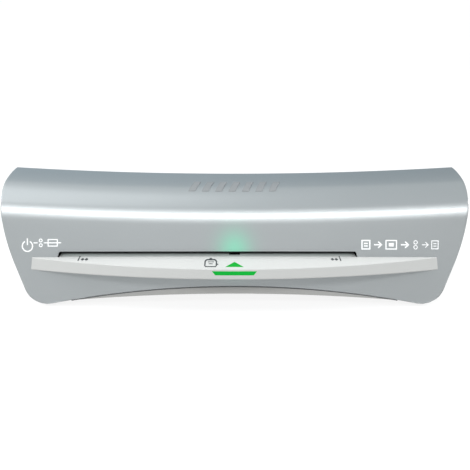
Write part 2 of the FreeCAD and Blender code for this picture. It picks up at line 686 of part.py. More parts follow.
def bearing_block(inner, outer, away):
    """Sliding block in a plate's upright slot, with an arm over the release cam."""
    slot_y = (ROLLER_Y - BLOCK_HALF, ROLLER_Y + BLOCK_HALF)
    flange_y = (ROLLER_Y - 9, ROLLER_Y + 9)
    slot_part = span_box(inner - away, outer + away, *slot_y, BLOCK_LOW, BLOCK_TOP)
    outer_flange = span_box(outer + away * GAP, outer + away * 2.3, *flange_y, BLOCK_LOW, BLOCK_TOP)
    inner_x = (inner - away * GAP, inner - away * CAM_REACH)
    inner_flange = span_box(*inner_x, *flange_y, BLOCK_LOW, BLOCK_TOP)
    arm_low = RELEASE_Z + CAM_R + GAP
    arm_top = arm_low + 3.2
    lower_edge = [(84.5, 50), (89, 50), (91.2, arm_low), (105, arm_low)]
    upper_edge = [(105, arm_top), (89.2, arm_top), (84.5, BLOCK_TOP)]
    arm = side_slab(lower_edge + upper_edge, min(inner_x), max(inner_x))
    bore = span_rod(inner - 10 * away, outer + 10 * away, ROLLER_Y, UPPER_Z, JOURNAL_R + RUNNING)
    return union([slot_part, outer_flange, inner_flange, arm]).cut(bore)


def build_bearing_blocks():
    return group([bearing_block(LEFT_INNER, LEFT_OUTER, -1), bearing_block(RIGHT_INNER, RIGHT_OUTER, 1)])


SPRING_X = (-145.6, 101.6)
SPRING_SEAT_Z = 72.0
SPRING_R = 2.7
SPRING_WIRE_R = 0.45
SPRING_COILS = 6


def build_springs():
    """Two pressure springs between the blocks and their brackets."""
    springs = []
    height = SPRING_SEAT_Z - BLOCK_TOP - 2 * SPRING_WIRE_R - 0.2
    for x in SPRING_X:
        helix = Part.makeHelix(height / SPRING_COILS, height, SPRING_R)
        ring = Part.Wire(Part.makeCircle(SPRING_WIRE_R, point(SPRING_R, 0, 0), point(0, 1, 0)))
        spring = Part.Wire(helix).makePipeShell([ring], True, True)
        spring.translate(point(x, ROLLER_Y, BLOCK_TOP + SPRING_WIRE_R + 0.1))
        springs.append(spring)
    return group(springs)


def build_spring_brackets():
    """Bent steel brackets over the springs, each with a stud that centres its spring."""
    brackets = []
    for x, inner, away in zip(SPRING_X, (LEFT_INNER, RIGHT_INNER), (-1, 1)):
        sides = (ROLLER_Y - 6, ROLLER_Y + 6)
        tab = span_box(inner, x - away * 4.2, *sides, SPRING_SEAT_Z, SPRING_SEAT_Z + 1.4)
        skirt = span_box(inner, inner - away * 1.2, *sides, SPRING_SEAT_Z, FRAME_TOP_Z)
        stud = rod_z(x, ROLLER_Y, SPRING_SEAT_Z - 4, SPRING_SEAT_Z + 0.5, 1.8)
        brackets.append(union([tab, skirt, stud]))
    return group(brackets)


# ---- release ----
def build_release_shaft():
    return rod_x(LEVER_X - 2.5, RIGHT_OUTER + 2.4, RELEASE_Y, RELEASE_Z, RELEASE_R)


def build_release_cams():
    """Two eccentric cams, one under each block's arm."""
    bore = rod_x(-160, 120, RELEASE_Y, RELEASE_Z, RELEASE_R)
    cams = []
    for inner, away in ((LEFT_INNER, -1), (RIGHT_INNER, 1)):
        x0, x1 = sorted((inner - away * GAP, inner - away * CAM_REACH))
        hub = rod_x(x0, x1, RELEASE_Y, RELEASE_Z, CAM_R)
        lobe = rod_x(x0, x1, RELEASE_Y + CAM_OFFSET, RELEASE_Z, CAM_R)
        web = box(x0, x1, RELEASE_Y, RELEASE_Y + CAM_OFFSET, RELEASE_Z - CAM_R, RELEASE_Z + CAM_R)
        cams.append(union([hub, lobe, web]).cut(bore))
    return group(cams)


def build_release_lever():
    """Lever on the release shaft; its knob stands out behind the rear wall."""
    x0 = LEVER_X - 2
    x1 = LEVER_X + 2
    tip = RELEASE_Y + LEVER_REACH
    hub = rod_x(x0, x1, RELEASE_Y, RELEASE_Z, 5)
    lower_edge = [(RELEASE_Y, RELEASE_Z - 4), (tip - 6, RELEASE_Z - 2.2)]
    upper_edge = [(tip - 6, RELEASE_Z + 2.2), (RELEASE_Y, RELEASE_Z + 4)]
    arm = side_slab(lower_edge + upper_edge, x0, x1)
    knob = box(LEVER_X - 6, LEVER_X + 6, tip - 8, tip, RELEASE_Z - 3.2, RELEASE_Z + 3.2)
    knob = knob.makeFillet(1.4, knob.Edges)
    bore = rod_x(x0 - 1, x1 + 1, RELEASE_Y, RELEASE_Z, RELEASE_R)
    return union([hub, arm, knob]).cut(bore)


# ---- heating and guiding ----
def mirror_pairs(pairs):
    """The same outline below the pouch path."""
    return [(y, 2 * NIP_Z - z) for y, z in pairs]


SHOE = [
    (33.9, 43.6), (66, 43.6), (67, 44.4), (67, 50), (64, 50),
    (64, 46.2), (37, 46.2), (37, 50), (33.9, 50),
]
ELEMENT = [(38, 46.2), (63, 46.2), (63, 48.8), (38, 48.8)]


def heater_element(pairs):
    """Flat heater in the shoe's channel, with raised strips over its wires."""
    z_values = [z for _, z in pairs]
    out = max(z_values) if min(z_values) > NIP_Z else min(z_values) - 0.5
    plate = side_slab(pairs, -134, 90)
    strips = [box(-128, 84, y, y + 2.4, out, out + 0.5) for y in (41.0, 46.0, 51.0, 56.0)]
    return union([plate] + strips)


def build_thermostats():
    """Two bimetal thermostats on the upper heater."""
    found = []
    for x in (-72.0, 8.0):
        can = rod_z(x, 50.5, 49.3, 55, 7)
        plate = box(x - 11, x + 11, 47.5, 53.5, 49.3, 50.1)
        tabs = [box(x + s - 2, x + s + 2, 50.1, 50.9, 55, 60) for s in (-4, 4)]
        found.append(union([can, plate] + tabs))
    return group(found)


def build_thermal_fuse():
    body = rod_x(-38, -26, 50.5, 51.3, 2)
    leads = rod_x(-46, -18, 50.5, 51.3, 0.5)
    return union([body, leads])


def build_heat_shield():
    """Folded sheet over the upper heater."""
    sheet = 0.8
    outside = [(34, 52), (34, 63.5), (68, 63.5), (68, 52)]
    inside = [(68 - sheet, 52), (68 - sheet, 63.5 - sheet), (34 + sheet, 63.5 - sheet), (34 + sheet, 52)]
    shield = side_slab(outside + inside, LEFT_INNER, RIGHT_INNER)
    vents = [box(x, x + 8, 42, 60, 62, 65) for x in range(-130, 90, 16)]
    return shield.cut(group(vents))


ENTRY_LOWER = [(TONGUE_END_Y + GAP, 36.5), (TONGUE_END_Y + GAP, 39.4), (33.5, 40.3), (33.5, 36.5)]
ENTRY_UPPER = [(13.2, 44.2), (27, 44.2), (33.5, 43.7), (33.5, 48.5), (13.2, 48.5)]
EXIT_LOWER = [(91.5, 36.5), (91.5, 40.2), (96, 39.2), (123.5, 39.2), (123.5, 36.5)]
EXIT_UPPER = [(91.5, 48.5), (91.5, 44.2), (96, 44.8), (123.5, 44.8), (123.5, 48.5)]


# ---- drive ----
def involute(angle):
    return math.tan(angle) - angle


def half_tooth(radius, pitch_r, teeth):
    """Half the angle that a tooth covers at a radius, in radians."""
    pressure = math.radians(PRESSURE_ANGLE)
    base_r = pitch_r * math.cos(pressure)
    at_pitch = math.pi / (2 * teeth) - BACKLASH / (2 * pitch_r)
    local = math.acos(min(1.0, base_r / radius))
    return at_pitch + involute(pressure) - involute(local)


def gear(y, z, teeth, first_tooth, bore_r):
    """Spur gear with involute flanks and stub teeth. first_tooth is an angle from +Y towards +Z."""
    pitch_r = MODULE * teeth / 2
    root_r = pitch_r - 1.15 * MODULE
    top_r = pitch_r + 0.85 * MODULE
    radii = [root_r + (top_r - root_r) * n / 4 for n in range(5)]
    corners = []
    for n in range(teeth):
        middle = math.radians(first_tooth + 360.0 * n / teeth)
        flank = [(r, half_tooth(r, pitch_r, teeth)) for r in radii]
        for r, half in flank:
            corners.append((y + r * math.cos(middle - half), z + r * math.sin(middle - half)))
        for r, half in reversed(flank):
            corners.append((y + r * math.cos(middle + half), z + r * math.sin(middle + half)))
    wheel = side_slab(corners, GEAR_X0, GEAR_X1)
    return wheel.cut(rod_x(GEAR_X0 - 1, GEAR_X1 + 1, y, z, bore_r))


def meshed(tooth_angle, teeth, direction, next_teeth):
    """First tooth of the next gear, whose gap faces the tooth of the gear before."""
    past = tooth_angle - direction
    return direction + 180 - past * teeth / next_teeth - 180.0 / next_teeth


LOWER_TOOTH = 90.0
UPPER_TOOTH = meshed(LOWER_TOOTH, ROLLER_TEETH, 90.0, ROLLER_TEETH)
IDLER_TOOTH = meshed(LOWER_TOOTH, ROLLER_TEETH, IDLER_DIRECTION, IDLER_TEETH)
PINION_TOOTH = meshed(IDLER_TOOTH, IDLER_TEETH, PINION_DIRECTION, PINION_TEETH)


def build_idler_gear():
    """Idler with a web that is thinner than its rim."""
    wheel = gear(IDLER_Y, IDLER_Z, IDLER_TEETH, IDLER_TOOTH, STUD_R + RUNNING)
    ring = rod_x(GEAR_X1 - 2.5, GEAR_X1, IDLER_Y, IDLER_Z, 11.5)
    hub = rod_x(GEAR_X1 - 3, GEAR_X1 + 1, IDLER_Y, IDLER_Z, 5)
    return wheel.cut(ring.cut(hub))


def build_idler_stud():
    """Stud riveted into the right plate, with a retaining head."""
    rivet = rod_x(RIGHT_INNER, RIGHT_OUTER, IDLER_Y, IDLER_Z, 1.5)
    shoulder = rod_x(RIGHT_OUTER, GEAR_X0 - GAP, IDLER_Y, IDLER_Z, 4)
    pin = rod_x(GEAR_X0 - GAP, GEAR_X1 + GAP, IDLER_Y, IDLER_Z, STUD_R)
    head = rod_x(GEAR_X1 + GAP, GEAR_X1 + 1.5, IDLER_Y, IDLER_Z, 4)
    return union([rivet, shoulder, pin, head])


def build_motor_pinion():
    """Pinion on the motor's output shaft."""
    wheel = gear(PINION_Y, PINION_Z, PINION_TEETH, PINION_TOOTH, 1.0)
    shaft = rod_x(GEAR_X0 - 1, MOTOR_X0 + 4, PINION_Y, PINION_Z, 2.5)
    return union([wheel, shaft])


EAR_REACH = 24.6
EAR_R = 3.6
MOTOR_EARS = [(PINION_Y - EAR_REACH, PINION_Z), (PINION_Y + EAR_REACH, PINION_Z)]


def build_gear_motor():
    """Synchronous gear motor: can, stepped back, ears and terminal block."""
    can = rod_x(MOTOR_X0, MOTOR_X1, PINION_Y, PINION_Z, MOTOR_R)
    back = rod_x(MOTOR_X1, MOTOR_X1 + 2.5, PINION_Y, PINION_Z, MOTOR_R - 5)
    ears = [rod_x(MOTOR_X0, MOTOR_X0 + 1.2, y, z, EAR_R) for y, z in MOTOR_EARS]
    bridge = box(
        MOTOR_X0, MOTOR_X0 + 1.2,
        PINION_Y - EAR_REACH, PINION_Y + EAR_REACH,
        PINION_Z - EAR_R, PINION_Z + EAR_R,
    )
    can_low_z = PINION_Z - MOTOR_R
    block = box(MOTOR_X0 + 6, MOTOR_X1 - 3, PINION_Y - 6, PINION_Y + 6, can_low_z - 4, can_low_z + 3)
    motor = union([can, back, bridge, block] + ears)
    holes = [rod_x(MOTOR_X0 - 1, MOTOR_X0 + 3, y, z, 1.6) for y, z in MOTOR_EARS]
    holes.append(rod_x(MOTOR_X0 - 1, MOTOR_X0 + 4.5, PINION_Y, PINION_Z, 2.5 + RUNNING))
    return motor.cut(group(holes))


def build_motor_bracket():
    """Plate on three standoffs that carries the motor outside the right frame."""
    x0 = MOTOR_X0 - PLATE
    y0 = PINION_Y - EAR_REACH - EAR_R - 0.4
    y1 = 72.0
    outline = [
        (y0, 44), (y0, 62), (PINION_Y, FRAME_TOP_Z), (y1, FRAME_TOP_Z),
        (y1, 52), (50, 18), (36, 18),
    ]
    plate = side_slab(outline, x0, MOTOR_X0)
    posts = [rod_x(RIGHT_OUTER, x0, y, z, 3) for y, z in STANDOFFS]
    holes = [rod_x(x0 - 1, MOTOR_X0 + 1, y, z, 1.6) for y, z in MOTOR_EARS]
    holes.append(rod_x(x0 - 1, MOTOR_X0 + 1, PINION_Y, PINION_Z, 6))
    holes.append(rod_x(GEAR_X0, MOTOR_X0 + 1, IDLER_Y, IDLER_Z, 5))
    return union([plate] + posts).cut(group(holes))


def build_motor_screws():
    """Screws through the motor's ears into the bracket."""
    screws = []
    for y, z in MOTOR_EARS:
        head = rod_x(MOTOR_X0 + 1.2, MOTOR_X0 + 3.2, y, z, 2.4)
        shank = rod_x(MOTOR_X0 - 4.5, MOTOR_X0 + 1.2, y, z, 1.6)
        screws.append(union([head, shank]))
    return group(screws)


# ---- electronics ----
def build_control_board():
    board = box(124, 167.5, 46, 102, BOARD_Z, BOARD_Z + 1.6)
    return board.cut(group([rod_z(x, y, BOARD_Z - 1, BOARD_Z + 3, 1.25) for x, y in BOARD_POSTS]))


def build_board_parts():
    """Transformer, relay, capacitors, triac and connectors on the control board."""
    top = BOARD_Z + 1.6
    core = box(142, 160, 72, 88, top, top + 11)
    coil = box(144.5, 157.5, 69, 91, top + 1.5, top + 9.5)
    found = [union([core, coil])]
    found.append(box(128, 138, 76, 92, top, top + 10))
    found += [rod_z(x, 62, top, top + 11, 4) for x in (136.0, 146.0)]
    found.append(box(154, 165, 60, 64, top, top + 9))
    found += [box(x, x + 7, 48.5, 54, top, top + 7) for x in (133.0, 143.0, 153.0)]
    return group(found)


def build_board_screws():
    top = BOARD_Z + 1.6
    return group([screw_z(x, y, top, top + 1.6, 13, 1.25, 2.4) for x, y in BOARD_POSTS])


def build_lamp_board():
    """Small board with the status lamp, under the lip's tongue."""
    board = box(-16, 16, 13, 25, 34, 35.2)
    lamp = rod_z(0, 18, 35.2, 36.6, 2.2)
    plug = box(7, 14, 15, 20, 35.2, 36.8)
    return group([board, lamp, plug])


def wire(points, radius):
    """Insulated wire: straight runs joined by tangent arcs."""
    edges = []
    start = points[0]
    for n in range(1, len(points) - 1):
        before = points[n - 1] - points[n]
        after = points[n + 1] - points[n]
        reach = 0.45 * min(before.Length, after.Length)
        before.normalize()
        after.normalize()
        tangent_in = points[n] + before * reach
        tangent_out = points[n] + after * reach
        half = before.getAngle(after) / 2
        inward = (before + after).normalize()
        middle = points[n] + inward * (reach / math.cos(half) - reach * math.tan(half))
        edges.append(Part.makeLine(start, tangent_in))
        edges.append(Part.Arc(tangent_in, middle, tangent_out).toShape())
        start = tangent_out
    edges.append(Part.makeLine(start, points[-1]))
    path = Part.Wire(edges)
    heading = points[1] - points[0]
    section = Part.Wire(Part.makeCircle(radius, points[0], heading))
    return path.makePipeShell([section], True, True)


def build_wiring():
    """Wires from the inlet to the switch and the board, and from the board to motor and lamp."""
    z = REAR_PART_Z
    runs = [
        [(145.7, 101.7, z), (145.7, 97, z + 1), (137, 96, z + 8), (128.5, 97, z + 1), (128.5, 101.7, z)],
        [(154.3, 101.7, z), (154.3, 97, z + 1), (160, 96, z + 5), (163.5, 86, z), (163.5, 76, 22.8)],
        [(122.5, 101.7, z), (122.5, 97, z), (126, 95, z + 3), (131, 95.5, 28), (131, 95.5, 21.7)],
        [(136.5, 51, 28.7), (136.5, 51, 30.5), (135.2, 48, 31.5), (134.2, 40, 31.2), (134, 36.5, 33)],
    ]
    return group([wire([point(*p) for p in run], 0.9) for run in runs])


def main():
    lip = build_feed_lip()
    arrow, light_bar, lamp_window = lip_inlays(lip)
    save("top_shell", build_top_shell())
    save("left_end_panel", end_panel(-1))
    save("right_end_panel", end_panel(1))
    save("base_tray", build_base_tray())
    save("rear_cover", build_rear_cover())
    save("rating_plate", rating_plate())
    save("feed_lip", lip.cut(group([arrow, light_bar, lamp_window])))
    save("arrow_inlay", arrow)
    save("light_bar", light_bar)
    save("lamp_window", lamp_window)
    save("top_badge", build_badge())
    save("rubber_feet", build_feet())
    save("housing_screws", build_housing_screws())
    save("cover_screws", build_cover_screws())
    save("power_inlet", build_power_inlet())
    save("inlet_pins", build_inlet_pins())
    save("switch_body", build_switch_body())
    save("power_rocker", build_rocker())
    save("left_side_frame", side_frame(FRAME_LEFT, -1))
    save("right_side_frame", side_frame(FRAME_RIGHT, 1))
    save("tie_rods", build_tie_rods())
    save("frame_screws", build_frame_screws())
    save("lower_roller_bushes", build_lower_bushes())
    save("upper_bearing_blocks", build_bearing_blocks())
    for side, z, tooth in (("lower", LOWER_Z, LOWER_TOOTH), ("upper", UPPER_Z, UPPER_TOOTH)):
        save(side + "_roller_shaft", roller_shaft(z))
        save(side + "_roller_sleeve", roller_sleeve(z))
        save(side + "_roller_clip", roller_clip(z))
        save(side + "_roller_gear", gear(ROLLER_Y, z, ROLLER_TEETH, tooth, JOURNAL_R))
    save("pressure_springs", build_springs())
    save("spring_brackets", build_spring_brackets())
    save("release_shaft", build_release_shaft())
    save("release_cams", build_release_cams())
    save("release_lever", build_release_lever())
    save("upper_heater_shoe", side_slab(SHOE, LEFT_INNER, RIGHT_INNER))
    save("lower_heater_shoe", side_slab(mirror_pairs(SHOE), LEFT_INNER, RIGHT_INNER))
    save("upper_heater_element", heater_element(ELEMENT))
    save("lower_heater_element", heater_element(mirror_pairs(ELEMENT)))
    save("thermostats", build_thermostats())
    save("thermal_fuse", build_thermal_fuse())
    save("heat_shield", build_heat_shield())
    save("lower_entry_guide", side_slab(ENTRY_LOWER, LEFT_INNER, RIGHT_INNER))
    save("upper_entry_guide", side_slab(ENTRY_UPPER, LEFT_INNER, RIGHT_INNER))
    save("lower_exit_guide", side_slab(EXIT_LOWER, LEFT_INNER, RIGHT_INNER))
    save("upper_exit_guide", side_slab(EXIT_UPPER, LEFT_INNER, RIGHT_INNER))
    save("idler_gear", build_idler_gear())
    save("idler_stud", build_idler_stud())
    save("motor_pinion", build_motor_pinion())
    save("gear_motor", build_gear_motor())
    save("motor_bracket", build_motor_bracket())
    save("motor_screws", build_motor_screws())
    save("control_board", build_control_board())
    save("board_parts", build_board_parts())
    save("board_screws", build_board_screws())
    save("lamp_board", build_lamp_board())
    save("wiring", build_wiring())


main()
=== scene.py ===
import json
import math

import bmesh
import bpy
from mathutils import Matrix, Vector


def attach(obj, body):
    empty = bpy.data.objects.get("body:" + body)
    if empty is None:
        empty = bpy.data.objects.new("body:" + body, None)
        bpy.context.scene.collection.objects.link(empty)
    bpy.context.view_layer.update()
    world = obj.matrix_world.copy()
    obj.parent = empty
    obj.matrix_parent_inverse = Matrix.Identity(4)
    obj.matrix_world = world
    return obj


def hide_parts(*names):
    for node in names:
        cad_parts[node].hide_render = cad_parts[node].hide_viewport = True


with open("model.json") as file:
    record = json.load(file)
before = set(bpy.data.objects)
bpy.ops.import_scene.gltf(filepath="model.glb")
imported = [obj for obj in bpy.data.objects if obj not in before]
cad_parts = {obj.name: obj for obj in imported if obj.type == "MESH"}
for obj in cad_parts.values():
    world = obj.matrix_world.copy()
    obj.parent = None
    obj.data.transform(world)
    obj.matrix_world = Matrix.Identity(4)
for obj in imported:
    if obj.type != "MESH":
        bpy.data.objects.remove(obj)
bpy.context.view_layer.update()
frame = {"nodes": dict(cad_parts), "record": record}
MM = 0.001

# ---- the outer surfaces, in millimetres of the row frame (the same numbers as the CAD) ----
FACE_FOOT_Y = -61.1
FACE_FOOT_Z = 1.0
FACE_LEAN = math.radians(12.0)
FACE_DEPTH = 30.0         # nothing of the face is further back than this from its foot
SADDLE_AXIS_Z = 3275.0
SHOULDER_FOOT_Z = 65.5
SHOULDER_R = 31.0
FRONT_ARC_R = 51.0
TOP_ARC_R = 200.0
TOP_ARC_TURN = math.radians(9.8)
PEAK = Vector((FACE_FOOT_Y + 80.0, 94.2))
REAR_CENTRE = Vector((FACE_FOOT_Y + 102.8, 61.6))
REAR_ARC_R = 22.0
REAR_SLOPE = math.radians(24.9)
REAR_LEAN = math.radians(84.0)
REAR_SPLIT_Z = 52.3
WALL = 2.4
APRON_INSET = 1.0

# ---- the front outline of the silver cover ----
HALF_WIDTH = 192.45
FLANK_TOP_Z = 97.3
FLANK_R = 168.0
FLANK_TURN = math.radians(22.4)
CORNER_R = 20.0
CORNER_LOW_Z = 2.0
ARCH_Z = 15.9

# ---- the entry slot, the lever's notch and the screw posts ----
SLOT_X = (-144.2, 100.0)
SLOT_Z = (36.8, 44.0)
SLOT_CORNER = 1.6
SLOT_SLANT = 1.2
NOTCH_X = (-163.0, -154.0)
NOTCH_Y = FACE_FOOT_Y + 105.0
POST_X = 167.0
POST_R = 3.5
SCREW_R = 1.5
POST_YS = (FACE_FOOT_Y + 28.0, FACE_FOOT_Y + 112.0)
POST_FOOT_Z = 30.3
POST_TOP_GAP = 0.8        # how far a post's top stays below the cover's outer surface

# ---- the grid of the cover's mesh ----
EDGE_SOFT = 0.45          # half the width of a softened edge
EDGE_SINK = 0.05          # how far a softened edge's middle lies inside the sharp one
INNER_X = 165.0           # columns further out than this lean with the flank
OUTLINE_SPLIT = math.radians(-45)     # where the round corner's rows meet its columns
COLUMN_PITCH = 5.0
FLANK_SHARES = (0.2, 0.4, 0.6, 0.8, 0.93, 1.0)
LOW_ROWS = 24
SLOT_ROWS = (36.0, 36.8, 38.6, 40.5, 42.4, 44.0, 46.5)
HIGH_ROWS = 9
REAR_ROWS = 4
BEVEL_WIDTH = 0.5

# ---- the lip's top, and how the printed marks lie on it and on the face ----
LIP_SLOPE = math.radians(9.0)
LIP_REAR_Y = FACE_FOOT_Y + 8.25
LIP_REAR_Z = 39.8
LIP_SHORTENING = 0.43     # how much the lip's top is foreshortened from the front
INK_PROUD = 0.05
INK_THICK = 0.06
SEAM_REACH = 134.0        # the painted shadow of the joint under the cover reaches this far from the middle
SEAM_DROP = 0.32
SEAM_WIDTH = 0.62
SEAM_STEPS = 56
LEFT_SIZE_MARK_X = -127.2
RIGHT_SIZE_MARK_X = 86.4


# ---- node material helpers ----
class Paint:
    """A material whose look is worked out by nodes, with the Principled shader at its end."""

    def __init__(self, name):
        self.material = bpy.data.materials.new(name)
        self.material.use_nodes = True
        self.nodes = self.material.node_tree.nodes
        self.links = self.material.node_tree.links
        self.shader = self.nodes["Principled BSDF"]
        self.place = self.nodes.new("ShaderNodeTexCoord").outputs["Object"]

    def set(self, **values):
        for key, value in values.items():
            self.shader.inputs[key.replace("_", " ")].default_value = value
        return self

    def link(self, output, key):
        self.links.new(output, self.shader.inputs[key])
        return self

    def noise(self, scale, detail=3.0):
        """Noise from 0 to 1, of that many features per metre."""
        texture = self.nodes.new("ShaderNodeTexNoise")
        texture.inputs["Scale"].default_value = scale
        texture.inputs["Detail"].default_value = detail
        self.links.new(self.place, texture.inputs["Vector"])
        return texture.outputs["Fac"]

    def spread(self, value, low, high, start=0.3, end=0.7):
        """Maps a value from start to end, the middle of a noise, to the span from low to high."""
        ranged = self.nodes.new("ShaderNodeMapRange")
        ranged.inputs["From Min"].default_value = start
        ranged.inputs["From Max"].default_value = end
        ranged.inputs["To Min"].default_value = low
        ranged.inputs["To Max"].default_value = high
        self.links.new(value, ranged.inputs["Value"])
        return ranged.outputs["Result"]

    def blend(self, factor, first, second):
        """A colour between two others, each a colour or an output."""
        mix = self.nodes.new("ShaderNodeMix")
        mix.data_type = "RGBA"
        self.links.new(factor, mix.inputs["Factor"])
        for socket, colour in ((mix.inputs["A"], first), (mix.inputs["B"], second)):
            if isinstance(colour, bpy.types.NodeSocket):
                self.links.new(colour, socket)
            else:
                socket.default_value = (*colour, 1.0)
        return mix.outputs["Result"]

    def math(self, operation, first, second=0.0):
        """One arithmetic step on outputs or numbers."""
        step = self.nodes.new("ShaderNodeMath")
        step.operation = operation
        for socket, value in zip(step.inputs, (first, second)):
            if isinstance(value, bpy.types.NodeSocket):
                self.links.new(value, socket)
            else:
                socket.default_value = value
        return step.outputs["Value"]

    def bump(self, height, distance, strength=1.0):
        relief = self.nodes.new("ShaderNodeBump")
        relief.inputs["Distance"].default_value = distance
        relief.inputs["Strength"].default_value = strength
        self.links.new(height, relief.inputs["Height"])
        self.links.new(relief.outputs["Normal"], self.shader.inputs["Normal"])
        return self


def mottled(name, colour, roughness, metallic=0.0, change=0.04, cloud=18.0, grain=1500.0, relief=0.00002):
    """A plain finish with faint clouds of colour, uneven gloss and a fine grain."""
    paint = Paint(name)
    darker = [c * (1 - change) for c in colour]
    lighter = [min(1.0, c * (1 + change)) for c in colour]
    factor = paint.spread(paint.noise(cloud), 0.0, 1.0)
    paint.link(paint.blend(factor, darker, lighter), "Base Color")
    paint.link(paint.spread(paint.noise(cloud * 3), roughness * 0.9, roughness * 1.1), "Roughness")
    paint.set(Metallic=metallic)
    paint.bump(paint.noise(grain, 2.0), relief)
    return paint


# ---- materials ----
# where the painted pool of the status lamp's green light sits on the face
GLOW_CENTRE = (0.0, 45.5 * MM)
GLOW_HALF_WIDTH = 13.0 * MM
GLOW_HEIGHT = 15.0 * MM


def painted_glow_factor(paint):
    """Painted pool of lamp light: a soft spot on the face above the slot, where the status lamp shines up."""
    axes = paint.nodes.new("ShaderNodeSeparateXYZ")
    paint.links.new(paint.place, axes.inputs["Vector"])
    across = paint.math("DIVIDE", paint.math("SUBTRACT", axes.outputs["X"], GLOW_CENTRE[0]), GLOW_HALF_WIDTH)
    upward = paint.math("DIVIDE", paint.math("SUBTRACT", axes.outputs["Z"], GLOW_CENTRE[1]), GLOW_HEIGHT)
    reach = paint.math("ADD", paint.math("POWER", across, 2.0), paint.math("POWER", upward, 2.0))
    spot = paint.math("POWER", math.e, paint.math("MULTIPLY", reach, -1.0))
    front = paint.math("LESS_THAN", axes.outputs["Y"], (FACE_FOOT_Y + FACE_DEPTH) * MM)
    return paint.math("MULTIPLY", spot, front)


def silver_paint():
    paint = Paint("silver_paint")
    clouds = paint.spread(paint.noise(6.0), 0.0, 1.0)
    flakes = paint.spread(paint.noise(2600.0, 1.0), 0.0, 1.0)
    metal = paint.blend(clouds, (0.386, 0.409, 0.416), (0.412, 0.435, 0.442))
    metal = paint.blend(paint.math("MULTIPLY", flakes, 0.2), metal, (0.475, 0.493, 0.50))
    # painted light: the lamp's green glow is painted into the paint's colour and emission, though the face is
    # no lamp
    glow = painted_glow_factor(paint)
    paint.link(paint.blend(paint.math("MULTIPLY", glow, 0.6), metal, (0.20, 0.72, 0.48)), "Base Color")
    paint.link(paint.spread(paint.noise(900.0, 2.0), 0.30, 0.37), "Roughness")
    paint.set(Metallic=0.75, Coat_Weight=0.25, Coat_Roughness=0.25)
    paint.set(Emission_Color=(0.15, 0.7, 0.42, 1.0))
    paint.link(paint.math("MULTIPLY", glow, 0.12), "Emission Strength")
    paint.bump(paint.noise(1800.0, 2.0), 0.00001, 0.6)
    return paint


def shaded_badge_silver():
    """The raised bars: painted shade, a darker and duller copy of the silver around them, so that they read.
    """
    # painted shade: the bars are the same silver, coloured darker than the paint around them
    paint = mottled("shaded_badge_silver", (0.30, 0.31, 0.315), 0.5, metallic=0.6, change=0.02)
    paint.set(Coat_Weight=0.2, Coat_Roughness=0.25)
    return paint


def green_light():
    paint = mottled("green_light", (0.002, 0.29, 0.027), 0.5, change=0.08)
    paint.set(Emission_Color=(0.0, 0.5, 0.05, 1.0), Emission_Strength=0.15, Specular_IOR_Level=0.1)
    return paint


def green_inlay():
    paint = mottled("green_inlay", (0.001, 0.26, 0.02), 0.5, change=0.08)
    paint.set(Specular_IOR_Level=0.1)
    return paint


def white_lip():
    paint = mottled("white_plastic", (0.455, 0.46, 0.45), 0.42, change=0.012, relief=0.000008)
    paint.set(Specular_IOR_Level=0.35)
    return paint


PLAIN_FINISHES = {
    "warm_grey_plastic": dict(colour=(0.355, 0.355, 0.345), roughness=0.55, grain=2200.0, relief=0.00004),
    "dark_window": dict(colour=(0.012, 0.012, 0.013), roughness=0.15),
    "foot_rubber": dict(colour=(0.02, 0.02, 0.02), roughness=0.8, change=0.2),
    "silicone": dict(colour=(0.38, 0.09, 0.035), roughness=0.6, change=0.1),
    "plated_steel": dict(colour=(0.58, 0.59, 0.58), roughness=0.38, metallic=1.0, change=0.08),
    "ground_steel": dict(colour=(0.62, 0.63, 0.64), roughness=0.22, metallic=1.0),
    "spring_steel": dict(colour=(0.3, 0.3, 0.31), roughness=0.35, metallic=1.0),
    "screw_steel": dict(colour=(0.5, 0.51, 0.53), roughness=0.32, metallic=1.0),
    "aluminium": dict(colour=(0.7, 0.71, 0.72), roughness=0.35, metallic=1.0),
    "bush_bronze": dict(colour=(0.5, 0.31, 0.13), roughness=0.4, metallic=1.0),
    "contact_brass": dict(colour=(0.72, 0.53, 0.24), roughness=0.25, metallic=1.0),
    "black_plastic": dict(colour=(0.018, 0.018, 0.02), roughness=0.45, relief=0.00004),
    "gear_nylon": dict(colour=(0.76, 0.74, 0.66), roughness=0.5),
    "block_plastic": dict(colour=(0.05, 0.05, 0.055), roughness=0.5),
    "motor_metal": dict(colour=(0.4, 0.41, 0.42), roughness=0.4, metallic=0.8),
    "circuit_board": dict(colour=(0.02, 0.13, 0.05), roughness=0.35, change=0.2),
    "component_plastic": dict(colour=(0.03, 0.03, 0.034), roughness=0.4),
    "heater_foil": dict(colour=(0.42, 0.22, 0.06), roughness=0.4, change=0.15),
    "thermostat_body": dict(colour=(0.62, 0.6, 0.52), roughness=0.6),
    "wire_insulation": dict(colour=(0.3, 0.03, 0.02), roughness=0.4),
    "label_film": dict(colour=(0.6, 0.61, 0.61), roughness=0.5),
    "white_ink": dict(colour=(0.9, 0.91, 0.91), roughness=0.5),
    "dark_ink": dict(colour=(0.03, 0.034, 0.038), roughness=0.5),
    # painted shadow of the joint under the cover's lower edge
    "seam_shadow": dict(colour=(0.085, 0.088, 0.092), roughness=0.8),
}


def build_finishes():
    made = {name: mottled(name, **values).material for name, values in PLAIN_FINISHES.items()}
    made["silver_paint"] = silver_paint().material
    made["shaded_badge_silver"] = shaded_badge_silver().material
    made["green_light"] = green_light().material
    made["green_inlay"] = green_inlay().material
    made["white_plastic"] = white_lip().material
    return made


# the raised bars take the darker copy of the silver, a painted shade
NODE_FINISHES = {"top_badge": "shaded_badge_silver"}


